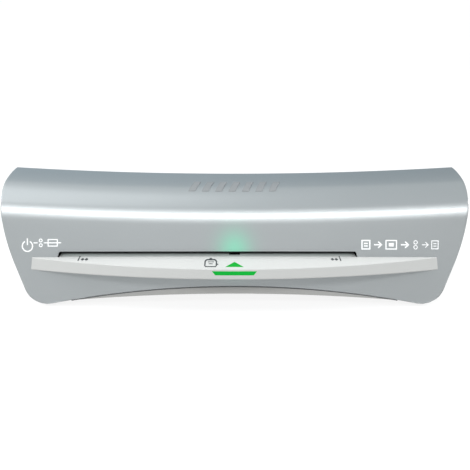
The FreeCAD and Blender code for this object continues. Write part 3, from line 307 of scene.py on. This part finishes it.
def dress_cad_nodes(finishes):
    """Gives every CAD node its own finish, or that of its slot in the record."""
    for part in frame["record"]["subparts"]:
        node = frame["nodes"][part["node"]]
        node.data.materials.clear()
        finish = NODE_FINISHES.get(part["node"], part["material_slot"])
        node.data.materials.append(finishes[finish])


# ---- the silver cover ----
def face_y(profile_z):
    """Where the side profile's straight front is at a height."""
    return FACE_FOOT_Y + (profile_z - FACE_FOOT_Z) * math.tan(FACE_LEAN)


def bowed_z(x, profile_z):
    """Height of a point of the side profile after the bow across the width."""
    return SADDLE_AXIS_Z - math.sqrt((SADDLE_AXIS_Z - profile_z) ** 2 - x * x)


def unbowed_z(x, z):
    """The side profile's height for a point of the bowed surface."""
    return SADDLE_AXIS_Z - math.hypot(x, SADDLE_AXIS_Z - z)


def on_arc(centre, radius, turn):
    """A (y, z) point of the side view, with the turn from +Z towards +Y."""
    return Vector((centre.x + radius * math.sin(turn), centre.y + radius * math.cos(turn)))


def turn_of(centre, place):
    return math.atan2(place.x - centre.x, place.y - centre.y)


def front_crossing(first, first_r, second, second_r):
    """Where two circles of the side view cross, on the side nearer the front."""
    gap = second - first
    along = (gap.length_squared + first_r ** 2 - second_r ** 2) / (2 * gap.length)
    across = math.sqrt(first_r ** 2 - along ** 2)
    foot = first + gap.normalized() * along
    side = Vector((gap.y, -gap.x)).normalized() * across
    return min(foot + side, foot - side, key=lambda place: place.x)


def side_profile():
    """Points (y, z) from the shoulder's foot over the crease and the ridge to the rear wall."""
    shoulder = Vector((
        face_y(SHOULDER_FOOT_Z) + SHOULDER_R * math.cos(FACE_LEAN),
        SHOULDER_FOOT_Z - SHOULDER_R * math.sin(FACE_LEAN),
    ))
    top = PEAK - Vector((0, TOP_ARC_R))
    front = on_arc(top, TOP_ARC_R - FRONT_ARC_R, -TOP_ARC_TURN)
    crease = front_crossing(shoulder, SHOULDER_R, front, FRONT_ARC_R)
    slope_foot = on_arc(REAR_CENTRE, REAR_ARC_R, REAR_SLOPE)
    climb = Vector((-math.cos(REAR_SLOPE), math.sin(REAR_SLOPE)))
    offset = slope_foot - top
    reach = -offset.dot(climb) + math.sqrt(offset.dot(climb) ** 2 - offset.length_squared + TOP_ARC_R ** 2)
    ridge = slope_foot + climb * reach
    notch = ridge.lerp(slope_foot, (NOTCH_Y - ridge.x) / (slope_foot.x - ridge.x))
    wall_top = on_arc(REAR_CENTRE, REAR_ARC_R, REAR_LEAN)

    def arc(centre, radius, start, end, steps, soft_start=0.0, soft_end=0.0):
        """Points along an arc, without its ends, which may be kept back for a soft edge."""
        a = start + soft_start / radius
        b = end - soft_end / radius
        first = 0 if soft_start else 1
        last = steps if soft_end else steps - 1
        return [on_arc(centre, radius, a + (b - a) * n / steps) for n in range(first, last + 1)]

    foot_turn = FACE_LEAN - math.pi / 2
    points = [on_arc(shoulder, SHOULDER_R, foot_turn)]
    points += arc(shoulder, SHOULDER_R, foot_turn, turn_of(shoulder, crease), 10, soft_end=EDGE_SOFT)
    points.append(crease + (front - crease).normalized() * EDGE_SINK)
    points += arc(front, FRONT_ARC_R, turn_of(front, crease), -TOP_ARC_TURN, 16, soft_start=EDGE_SOFT)
    points += arc(top, TOP_ARC_R, -TOP_ARC_TURN, turn_of(top, ridge), 12, soft_end=EDGE_SOFT)
    points.append(ridge + Vector((0, -EDGE_SINK)))
    points += [ridge - climb * EDGE_SOFT, ridge - climb * 4.0, ridge.lerp(notch, 0.6), notch, slope_foot]
    points += arc(REAR_CENTRE, REAR_ARC_R, REAR_SLOPE, REAR_LEAN, 10)
    points.append(wall_top)
    return points


class Outline:
    """The cover's front outline: half widths and the lower edge."""

    def __init__(self):
        self.flank_x = HALF_WIDTH - FLANK_R
        self.line_top_x = self.flank_x + FLANK_R * math.cos(FLANK_TURN)
        self.line_top_z = FLANK_TOP_Z - FLANK_R * math.sin(FLANK_TURN)
        self.corner_z = CORNER_LOW_Z + CORNER_R
        line_x = self.line_top_x - (self.line_top_z - self.corner_z) * math.tan(FLANK_TURN)
        self.corner_x = line_x - CORNER_R / math.cos(FLANK_TURN)
        self.line_low_z = self.corner_z - CORNER_R * math.sin(FLANK_TURN)
        below = self.corner_z - ARCH_Z
        self.arch_r = (self.corner_x ** 2 + below ** 2 - CORNER_R ** 2) / (2 * (CORNER_R - below))
        self.arch_centre_z = ARCH_Z - self.arch_r
        tangent = math.atan2(self.corner_z - self.arch_centre_z, self.corner_x)
        self.arch_end_x = self.corner_x - CORNER_R * math.cos(tangent)
        self.split_x = self.corner_x + CORNER_R * math.cos(OUTLINE_SPLIT)
        self.split_z = self.corner_z + CORNER_R * math.sin(OUTLINE_SPLIT)

    def half_width(self, z):
        if z >= FLANK_TOP_Z:
            return HALF_WIDTH
        if z >= self.line_top_z:
            return self.flank_x + math.sqrt(FLANK_R ** 2 - (FLANK_TOP_Z - z) ** 2)
        if z >= self.line_low_z:
            return self.line_top_x - (self.line_top_z - z) * math.tan(FLANK_TURN)
        return self.corner_x + math.sqrt(CORNER_R ** 2 - (self.corner_z - z) ** 2)

    def lower_z(self, x):
        x = abs(x)
        if x <= self.arch_end_x:
            return self.arch_centre_z + math.sqrt(self.arch_r ** 2 - x * x)
        return self.corner_z - math.sqrt(CORNER_R ** 2 - (x - self.corner_x) ** 2)


OUTLINE = Outline()


def cover_columns():
    """Each column as (nominal x, share of the way from INNER_X to the flank)."""
    slot_left, slot_right = SLOT_X
    stops = [-INNER_X, *NOTCH_X]
    stops += [slot_left, slot_left + SLOT_CORNER, slot_right - SLOT_CORNER, slot_right, INNER_X]
    inner = []
    for start, end in zip(stops, stops[1:]):
        steps = max(1, round((end - start) / COLUMN_PITCH))
        inner += [start + (end - start) * n / steps for n in range(steps)]
    inner.append(INNER_X)
    left = [(-INNER_X, -share) for share in reversed(FLANK_SHARES)]
    right = [(INNER_X, share) for share in FLANK_SHARES]
    return left + [(x, 0.0) for x in inner] + right


def column_x(column, half_width):
    x, share = column
    return x + share * (half_width - INNER_X)


def slot_x(column, z):
    """Columns at the slot's ends lean with them."""
    x, share = column
    depth = (SLOT_Z[1] - SLOT_CORNER - z) / (SLOT_Z[1] - SLOT_CORNER - SLOT_Z[0])
    lean = SLOT_SLANT * min(1.0, max(0.0, depth))
    if share == 0.0 and x == SLOT_X[0]:
        return x - lean
    if share == 0.0 and x == SLOT_X[1]:
        return x + lean
    return column_x(column, OUTLINE.half_width(z))


def cover_rows(columns):
    """The cover's outer surface as rows of points, from the lower front edge to the rear wall's foot."""
    rows = []
    for n in range(LOW_ROWS):
        share = (n / LOW_ROWS) ** 1.5
        edge_z = OUTLINE.split_z + share * (SLOT_ROWS[0] - OUTLINE.split_z)
        row = []
        for column in columns:
            foot_x = column_x(column, OUTLINE.split_x)
            foot_z = OUTLINE.lower_z(foot_x)
            x = column_x(column, OUTLINE.half_width(edge_z))
            row.append((x, foot_z + share * (SLOT_ROWS[0] - foot_z)))
        rows.append(row)
    for z in SLOT_ROWS:
        rows.append([(slot_x(column, z), z) for column in columns])
    for n in range(1, HIGH_ROWS):
        share = n / HIGH_ROWS
        row = []
        for column in columns:
            x = column[0]
            for _ in range(3):
                z = SLOT_ROWS[-1] + share * (bowed_z(x, SHOULDER_FOOT_Z) - SLOT_ROWS[-1])
                x = column_x(column, OUTLINE.half_width(z))
            row.append((x, z))
        rows.append(row)
    shaped = [[(x, face_y(unbowed_z(x, z)), z) for x, z in row] for row in rows]
    for place in side_profile():
        row = []
        for column in columns:
            x = column[0]
            for _ in range(3):
                x = column_x(column, OUTLINE.half_width(bowed_z(x, place.y)))
            row.append((x, place.x, bowed_z(x, place.y)))
        shaped.append(row)
    top = shaped[-1]
    for n in range(1, REAR_ROWS + 1):
        row = []
        for column, (x, y, z) in zip(columns, top):
            low_z = z + (REAR_SPLIT_Z - z) * n / REAR_ROWS
            low_x = column_x(column, OUTLINE.half_width(low_z))
            row.append((low_x, y + (z - low_z) / math.tan(REAR_LEAN), low_z))
        shaped.append(row)
    return shaped


def round_slot_corners(rows, columns):
    """Pulls the slot's two upper corners in, so that they are round."""
    level = next(n for n, row in enumerate(rows) if abs(row[0][2] - SLOT_Z[1]) < 1e-6)
    cut = SLOT_CORNER * (1 - math.sqrt(0.5))
    for end, side in ((SLOT_X[0], 1), (SLOT_X[1], -1)):
        place = columns.index((end, 0.0))
        x = end + side * cut
        z = SLOT_Z[1] - cut
        rows[level][place] = (x, face_y(unbowed_z(x, z)), z)


def is_open(columns, rows, column, row):
    """True for a cell of the slot or of the lever's notch."""
    x0 = columns[column][0]
    x1 = columns[column + 1][0]
    if columns[column][1] or columns[column + 1][1]:
        return False
    low = rows[row][column]
    high = rows[row + 1][column]
    slack = 0.01
    in_slot_width = x0 >= SLOT_X[0] and x1 <= SLOT_X[1]
    in_slot_height = low[2] >= SLOT_Z[0] - slack and high[2] <= SLOT_Z[1] + slack
    if in_slot_width and in_slot_height and low[1] < FACE_FOOT_Y + FACE_DEPTH:
        return True
    return x0 >= NOTCH_X[0] and x1 <= NOTCH_X[1] and low[1] >= NOTCH_Y - slack


def add_tube(bottom, top_z, outer_r, inner_r, sides=32):
    """A closed upright tube as vertices and faces."""
    vertices = []
    faces = []
    for z in (bottom[2], top_z):
        for radius in (outer_r, inner_r):
            for n in range(sides):
                turn = 2 * math.pi * n / sides
                vertices.append((bottom[0] + radius * math.cos(turn), bottom[1] + radius * math.sin(turn), z))
    for n in range(sides):
        after = (n + 1) % sides
        low_out, low_in, high_out, high_in = n, sides + n, 2 * sides + n, 3 * sides + n
        low_out2, low_in2, high_out2, high_in2 = after, sides + after, 2 * sides + after, 3 * sides + after
        faces += [
            (low_out, low_out2, high_out2, high_out),
            (low_in2, low_in, high_in, high_in2),
            (low_out2, low_out, low_in, low_in2),
            (high_out, high_out2, high_in2, high_in),
        ]
    return vertices, faces


def build_silver_cover(finish):
    """The cover as a fine grid over its true surface, with wall thickness and softened edges."""
    columns = cover_columns()
    rows = cover_rows(columns)
    round_slot_corners(rows, columns)
    mesh = bmesh.new()
    grid = [[mesh.verts.new([c * MM for c in place]) for place in row] for row in rows]
    for r in range(len(rows) - 1):
        for c in range(len(columns) - 1):
            if not is_open(columns, rows, c, r):
                mesh.faces.new((grid[r][c], grid[r][c + 1], grid[r + 1][c + 1], grid[r + 1][c]))
    stray = [vertex for vertex in mesh.verts if not vertex.link_faces]
    bmesh.ops.delete(mesh, geom=stray, context="VERTS")
    data = bpy.data.meshes.new("silver_cover")
    mesh.to_mesh(data)
    mesh.free()
    cover = bpy.data.objects.new("silver_cover", data)
    bpy.context.scene.collection.objects.link(cover)
    wall = cover.modifiers.new("wall", "SOLIDIFY")
    wall.thickness = WALL * MM
    wall.offset = -1.0
    wall.use_even_offset = True
    soften = cover.modifiers.new("soften", "BEVEL")
    soften.width = BEVEL_WIDTH * MM
    soften.segments = 3
    soften.limit_method = "ANGLE"
    soften.angle_limit = math.radians(50)
    soften.use_clamp_overlap = False
    apply_modifiers(cover)
    posts = build_posts()
    join_meshes(cover, posts)
    for polygon in cover.data.polygons:
        polygon.use_smooth = True
    cover.data.materials.append(finish)
    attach(cover, "housing")
    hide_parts("top_shell")
    return cover


def build_posts():
    """Four screw posts under the cover, as one mesh."""
    vertices = []
    faces = []
    for x in (-POST_X, POST_X):
        for y in POST_YS:
            top_z = min(cover_height(x, y - POST_R), cover_height(x, y + POST_R)) - POST_TOP_GAP
            tube, tube_faces = add_tube((x, y, POST_FOOT_Z), top_z, POST_R, SCREW_R)
            first = len(vertices)
            vertices += [[c * MM for c in vertex] for vertex in tube]
            faces += [[first + n for n in face] for face in tube_faces]
    mesh = bpy.data.meshes.new("posts")
    mesh.from_pydata(vertices, [], faces)
    return mesh


def cover_height(x, y):
    """Height of the cover's outer surface over a point."""
    profile = side_profile()
    for near, far in zip(profile, profile[1:]):
        if near.x <= y <= far.x:
            return bowed_z(x, near.y + (far.y - near.y) * (y - near.x) / (far.x - near.x))
    raise ValueError("no cover over that point")


def apply_modifiers(piece):
    """Bakes an object's modifiers into its mesh."""
    graph = bpy.context.evaluated_depsgraph_get()
    mesh = bpy.data.meshes.new_from_object(piece.evaluated_get(graph))
    piece.modifiers.clear()
    piece.data = mesh


def join_meshes(piece, extra):
    """Adds another mesh's faces to a piece's own mesh."""
    joined = bmesh.new()
    joined.from_mesh(piece.data)
    joined.from_mesh(extra)
    joined.to_mesh(piece.data)
    joined.free()


# ---- printed marks ----
def on_face(x, z, proud):
    """A point of the leaning, slightly bowed front face, in millimetres."""
    y = face_y(unbowed_z(x, z))
    return (x, y - proud * math.cos(FACE_LEAN), z + proud * math.sin(FACE_LEAN))


def on_lip(x, y, proud):
    """A point of the lip's sloping top, in millimetres."""
    z = LIP_REAR_Z - (LIP_REAR_Y - y) * math.tan(LIP_SLOPE)
    return (x, y - proud * math.sin(LIP_SLOPE), z + proud * math.cos(LIP_SLOPE))


def on_lip_seen(u, v, proud):
    """A point of the lip's top, with v measured as it looks from the front."""
    return on_lip(u, FACE_FOOT_Y + v / LIP_SHORTENING, proud)


def on_apron(x, z, proud):
    """A point of the base's front, which is set back from the face."""
    return on_face(x, z, proud - APRON_INSET)


def stroke(points, width, closed=False):
    """Quads of a line of that width, with mitred corners. Points are (u, v) pairs."""
    count = len(points)
    sides = []
    for n, here in enumerate(points):
        before = points[n - 1] if (closed or n > 0) else here
        after = points[(n + 1) % count] if (closed or n < count - 1) else here
        arrive = Vector(here) - Vector(before)
        leave = Vector(after) - Vector(here)
        arrive = arrive.normalized() if arrive.length else leave.normalized()
        leave = leave.normalized() if leave.length else arrive
        across = Vector((-(arrive.y + leave.y), arrive.x + leave.x)).normalized()
        stretch = width / 2 / max(0.4, across.dot(Vector((-arrive.y, arrive.x))))
        sides.append((Vector(here) + across * stretch, Vector(here) - across * stretch))
    spans = count if closed else count - 1
    quads = []
    for n in range(spans):
        left0, right0 = sides[n]
        left1, right1 = sides[(n + 1) % count]
        quads.append([left0, right0, right1, left1])
    return quads


def arc_points(u, v, radius, start, end, steps=28):
    turns = [math.radians(start + (end - start) * n / steps) for n in range(steps + 1)]
    return [(u + radius * math.cos(t), v + radius * math.sin(t)) for t in turns]


def rectangle(u0, v0, u1, v1):
    return [(u0, v0), (u1, v0), (u1, v1), (u0, v1)]


def print_mark(name, polygons, surface, finish):
    """Thin ink on a surface: one closed prism for each polygon."""
    vertices = []
    faces = []
    for polygon in polygons:
        first = len(vertices)
        count = len(polygon)
        for proud in (INK_PROUD + INK_THICK, INK_PROUD - INK_THICK):
            vertices += [[c * MM for c in surface(u, v, proud)] for u, v in polygon]
        top = [first + n for n in range(count)]
        low = [first + count + n for n in range(count)]
        faces += [top, low[::-1]]
        for n in range(count):
            after = (n + 1) % count
            faces.append([low[n], low[after], top[after], top[n]])
    mesh = bpy.data.meshes.new(name)
    mesh.from_pydata(vertices, [], faces)
    mesh.validate()
    mesh.materials.append(finish)
    piece = bpy.data.objects.new(name, mesh)
    bpy.context.scene.collection.objects.link(piece)
    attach(piece, "housing")
    return piece


def power_symbol(u, v, radius, width):
    ring = stroke(arc_points(u, v, radius, 118, 422), width)
    return ring + stroke([(u, v + 0.2 * radius), (u, v + 1.5 * radius)], width)


def sheet_icon(u, v, wide, high, width):
    outline = stroke(rectangle(u, v, u + wide, v + high), width, closed=True)
    lines = []
    for share in (0.35, 0.65):
        lines += stroke([(u + 0.25 * wide, v + share * high), (u + 0.75 * wide, v + share * high)], width)
    return outline + lines


def arrow_icon(u, v, reach, width):
    shaft = stroke([(u, v), (u + reach, v)], width)
    back = u + 0.55 * reach
    rise = 0.4 * reach
    head = stroke([(back, v + rise), (u + reach, v), (back, v - rise)], width)
    return shaft + head


def roller_icon(u, v, radius, width):
    upper = stroke(arc_points(u, v + radius, radius - width, 0, 360)[:-1], width, closed=True)
    lower = stroke(arc_points(u, v - radius, radius - width, 0, 360)[:-1], width, closed=True)
    return upper + lower


def feed_symbol():
    """A line with two rollers and a sheet on it."""
    line_z = 51.2
    rollers = roller_icon(-158.5, line_z, 1.9, 0.7)
    lead = stroke([(-164.4, line_z), (-160.9, line_z)], 0.8)
    tail = stroke([(-156.1, line_z), (-141.8, line_z)], 0.8)
    sheet = stroke(rectangle(-152.5, 48.6, -145.0, 53.8), 0.8, closed=True)
    return rollers + lead + tail + sheet


def step_symbols():
    """Sheet, pouch with the sheet in it, rollers, finished sheet, with arrows between them."""
    middle_z = 49.6
    steps = sheet_icon(104.4, 46.2, 6.4, 6.8, 1.0)
    steps += arrow_icon(114.2, middle_z, 6.2, 1.0)
    steps += stroke(rectangle(124.0, 46.2, 132.6, 53.0), 0.9, closed=True)
    steps.append(rectangle(126.3, 48.2, 130.3, 51.0))
    steps += arrow_icon(136.2, middle_z, 6.2, 1.0)
    steps += roller_icon(148.2, middle_z, 2.0, 0.6)
    steps += arrow_icon(153.4, middle_z, 5.2, 0.6)
    steps += sheet_icon(161.4, 46.4, 5.2, 6.4, 0.6)
    return steps


def pouch_icon(u, v):
    """A pouch with a small arrow over it."""
    wide = 4.6
    high = 5.0
    cut = 1.2
    corners = [(u - wide, v), (u - wide, v + high - cut), (u - wide + cut, v + high)]
    corners += [(u + wide - cut, v + high), (u + wide, v + high - cut), (u + wide, v)]
    sheet = stroke(corners, 1.0) + stroke([(u - 4.4, v - 0.4), (u + 4.4, v - 0.4)], 0.65)
    arrow = [[(u - 1.5, v + 5.5), (u + 1.5, v + 5.5), (u, v + 7.0)]]
    upper_line = stroke([(u - 2.4, v + 3.3), (u + 2.4, v + 3.3)], 0.5)
    lower_line = stroke([(u - 1.6, v + 1.8), (u + 1.6, v + 1.8)], 0.5)
    corner = [[(u + 5.2, v + 0.8), (u + 6.4, v + 1.4), (u + 5.6, v + 2.2)]]
    return sheet + arrow + upper_line + lower_line + corner


def size_mark(u, side):
    """A tick that shows where a sheet's edge goes, with two small dots inside it."""
    tick = stroke([(u, 0.3), (u + 0.6 * side, 3.9)], 0.95)
    dots = []
    for reach in (3.4, 6.6):
        centre = u + reach * side
        dots.append([(centre - 1.5, 1.4), (centre, 0.4), (centre + 1.5, 1.4), (centre, 2.6)])
    return tick + dots


def seam_shadow_line():
    """Painted shadow: a dark strip along the cover's lower edge, where the joint under it lies in shade."""
    places = [-SEAM_REACH + 2 * SEAM_REACH * n / SEAM_STEPS for n in range(SEAM_STEPS + 1)]
    return stroke([(x, OUTLINE.lower_z(x) - SEAM_DROP) for x in places], SEAM_WIDTH)


def print_marks(finishes):
    """White marks on the face, dark marks on the lip and the joint's painted shadow. None is a letter."""
    white = finishes["white_ink"]
    dark = finishes["dark_ink"]
    shadow = finishes["seam_shadow"]
    size_marks = size_mark(LEFT_SIZE_MARK_X, 1) + size_mark(RIGHT_SIZE_MARK_X, -1)
    print_mark("power_symbol", power_symbol(-169.4, 48.6, 4.2, 0.95), on_face, white)
    print_mark("feed_symbol", feed_symbol(), on_face, white)
    print_mark("step_symbols", step_symbols(), on_face, white)
    print_mark("pouch_symbol", pouch_icon(-19.2, -3.9), on_lip_seen, dark)
    # a painted shadow: a dark strip under the cover's lower edge
    print_mark("seam_shadow_line", seam_shadow_line(), on_apron, shadow)
    print_mark("size_marks", size_marks, on_lip_seen, dark)


# ---- surroundings ----
CAMERA_TURN = math.radians(15.0)
CAMERA_REACH = 760.0 * MM
CAMERA_AIM = Vector((0.42 * MM, -23.1 * MM, 50.3 * MM))
CAMERA_LENS = 68.58


def add_camera():
    data = bpy.data.cameras.new("camera")
    data.lens = CAMERA_LENS
    data.sensor_width = 36.0
    camera = bpy.data.objects.new("camera", data)
    back = Vector((0, -math.cos(CAMERA_TURN), math.sin(CAMERA_TURN)))
    camera.location = CAMERA_AIM + back * CAMERA_REACH
    camera.rotation_euler = (-back).to_track_quat("-Z", "Y").to_euler()
    bpy.context.scene.collection.objects.link(camera)
    bpy.context.scene.camera = camera


# colours of the room by a direction's height or its sideways part, as (part, colour)
ROOM_FRONT = [
    (0.0, (0.30, 0.31, 0.32)),
    (0.1, (0.54, 0.56, 0.57)),
    (0.22, (0.95, 0.985, 0.99)),
    (0.4, (0.84, 0.87, 0.89)),
    (1.0, (0.72, 0.77, 0.80)),
]
ROOM_BACK = [
    (0.0, (0.31, 0.395, 0.46)),
    (0.52, (0.29, 0.38, 0.44)),
    (0.72, (0.88, 0.93, 0.96)),
    (1.0, (0.72, 0.77, 0.80)),
]
ROOM_FRONT_SIDEWAYS = [
    (-0.3, (0.8, 0.8, 0.8)),
    (-0.08, (1.07, 1.07, 1.07)),
    (0.04, (1.05, 1.05, 1.05)),
    (0.17, (0.66, 0.66, 0.66)),
    (0.5, (0.4, 0.4, 0.4)),
]
ROOM_BACK_SIDEWAYS = [
    (-0.45, (1.0, 1.0, 1.0)),
    (-0.08, (0.93, 0.95, 0.95)),
    (0.25, (0.60, 0.61, 0.61)),
    (0.6, (0.45, 0.46, 0.46)),
]
BACKDROP = (0.95, 0.95, 0.95)
ROOM_TURN = [(-0.3, (0, 0, 0)), (0.3, (1, 1, 1))]


def add_light(name, place, aim, size, power, colour=(1, 1, 1)):
    """A rectangular soft light that points at aim. Lengths are in metres, power in watts."""
    data = bpy.data.lights.new(name, "AREA")
    data.shape = "RECTANGLE"
    data.size, data.size_y = size
    data.energy = power
    data.color = colour
    light = bpy.data.objects.new(name, data)
    light.location = place
    light.rotation_euler = (Vector(aim) - Vector(place)).to_track_quat("-Z", "Y").to_euler()
    bpy.context.scene.collection.objects.link(light)


def add_world():
    """A plain grey room, paler at the left and overhead, with a dark wall low behind the object.

    It lights the object and shows in its reflections. The camera itself sees a plain pale backdrop.
    """
    world = bpy.data.worlds.new("room")
    world.use_nodes = True
    nodes = world.node_tree.nodes
    links = world.node_tree.links

    def ramp(value, low, high, stops):
        """A colour ramp over a direction's component between low and high."""
        spread = nodes.new("ShaderNodeMapRange")
        spread.inputs["From Min"].default_value = low
        spread.inputs["From Max"].default_value = high
        links.new(value, spread.inputs["Value"])
        node = nodes.new("ShaderNodeValToRGB")
        while len(node.color_ramp.elements) < len(stops):
            node.color_ramp.elements.new(0.5)
        for element, (place, colour) in zip(node.color_ramp.elements, stops):
            element.position = (place - low) / (high - low)
            element.color = (*colour, 1)
        links.new(spread.outputs["Result"], node.inputs["Fac"])
        return node.outputs["Color"]

    def combine(blend, factor, first, second):
        node = nodes.new("ShaderNodeMix")
        node.data_type = "RGBA"
        node.blend_type = blend
        if isinstance(factor, bpy.types.NodeSocket):
            links.new(factor, node.inputs["Factor"])
        else:
            node.inputs["Factor"].default_value = factor
        links.new(first, node.inputs["A"])
        links.new(second, node.inputs["B"])
        return node.outputs["Result"]

    axes = nodes.new("ShaderNodeSeparateXYZ")
    links.new(nodes.new("ShaderNodeTexCoord").outputs["Generated"], axes.inputs["Vector"])
    front = ramp(axes.outputs["Z"], 0.0, 1.0, ROOM_FRONT)
    front = combine("MULTIPLY", 1.0, front, ramp(axes.outputs["X"], -1.0, 1.0, ROOM_FRONT_SIDEWAYS))
    back = ramp(axes.outputs["Z"], 0.0, 1.0, ROOM_BACK)
    back = combine("MULTIPLY", 1.0, back, ramp(axes.outputs["X"], -1.0, 1.0, ROOM_BACK_SIDEWAYS))
    facing = ramp(axes.outputs["Y"], -1.0, 1.0, ROOM_TURN)
    room = combine("MIX", facing, front, back)
    backdrop = nodes.new("ShaderNodeRGB")
    backdrop.outputs["Color"].default_value = (*BACKDROP, 1)
    seen = nodes.new("ShaderNodeLightPath").outputs["Is Camera Ray"]
    links.new(combine("MIX", seen, room, backdrop.outputs["Color"]), nodes["Background"].inputs["Color"])
    nodes["Background"].inputs["Strength"].default_value = 1.0
    bpy.context.scene.world = world


FLOOR_HALF = 60.0         # in metres, so that no edge of it is seen
FLOOR_NEAR = 0.84         # glow of the floor near the object
FLOOR_FAR = 0.93          # and far from it


def add_floor():
    """A plain pale floor, bright enough to read as white."""
    corners = [(u, v, 0.0) for u, v in rectangle(-FLOOR_HALF, -FLOOR_HALF, FLOOR_HALF, FLOOR_HALF)]
    mesh = bpy.data.meshes.new("floor")
    mesh.from_pydata(corners, [], [(0, 1, 2, 3)])
    paint = mottled("floor_paint", (0.16, 0.16, 0.16), 0.9, change=0.01, cloud=2.0, grain=40.0)
    paint.set(Emission_Color=(1, 1, 1, 1), Specular_IOR_Level=0.0)
    reach = paint.nodes.new("ShaderNodeVectorMath")
    reach.operation = "LENGTH"
    paint.links.new(paint.place, reach.inputs[0])
    paint.link(paint.spread(reach.outputs["Value"], FLOOR_NEAR, FLOOR_FAR, 0.4, 4.0), "Emission Strength")
    mesh.materials.append(paint.material)
    floor = bpy.data.objects.new("floor", mesh)
    bpy.context.scene.collection.objects.link(floor)


def light_studio():
    add_light("front_box", (-0.1, -1.84, 1.40), (0, -0.05, 0.08), (2.2, 0.5), 22)
    add_light("top_box", (-0.8, 0.1, 1.7), (-0.2, -0.05, 0.08), (1.6, 1.4), 5.8)
    add_light("upper_left_box", (-0.9, -0.45, 1.6), (-0.1, -0.05, 0.08), (0.6, 0.5), 0.5)
    add_light("left_box", (-1.9, 0.0, 1.3), (0, -0.05, 0.05), (1.0, 1.0), 50)
    add_light("right_box", (1.9, 0.0, 1.3), (0, -0.05, 0.05), (1.0, 1.0), 40)
    slot_place = (-0.022, -0.0471, 0.0436)
    slot_aim = (-0.022, -0.0491, 0.0396)
    add_light("slot_glow", slot_place, slot_aim, (0.24, 0.008), 0.0042, (0.88, 1.0, 0.99))
    add_world()
    bpy.context.scene.view_settings.view_transform = "Standard"


finishes = build_finishes()
dress_cad_nodes(finishes)
build_silver_cover(finishes["silver_paint"])
print_marks(finishes)
add_floor()
light_studio()
add_camera()
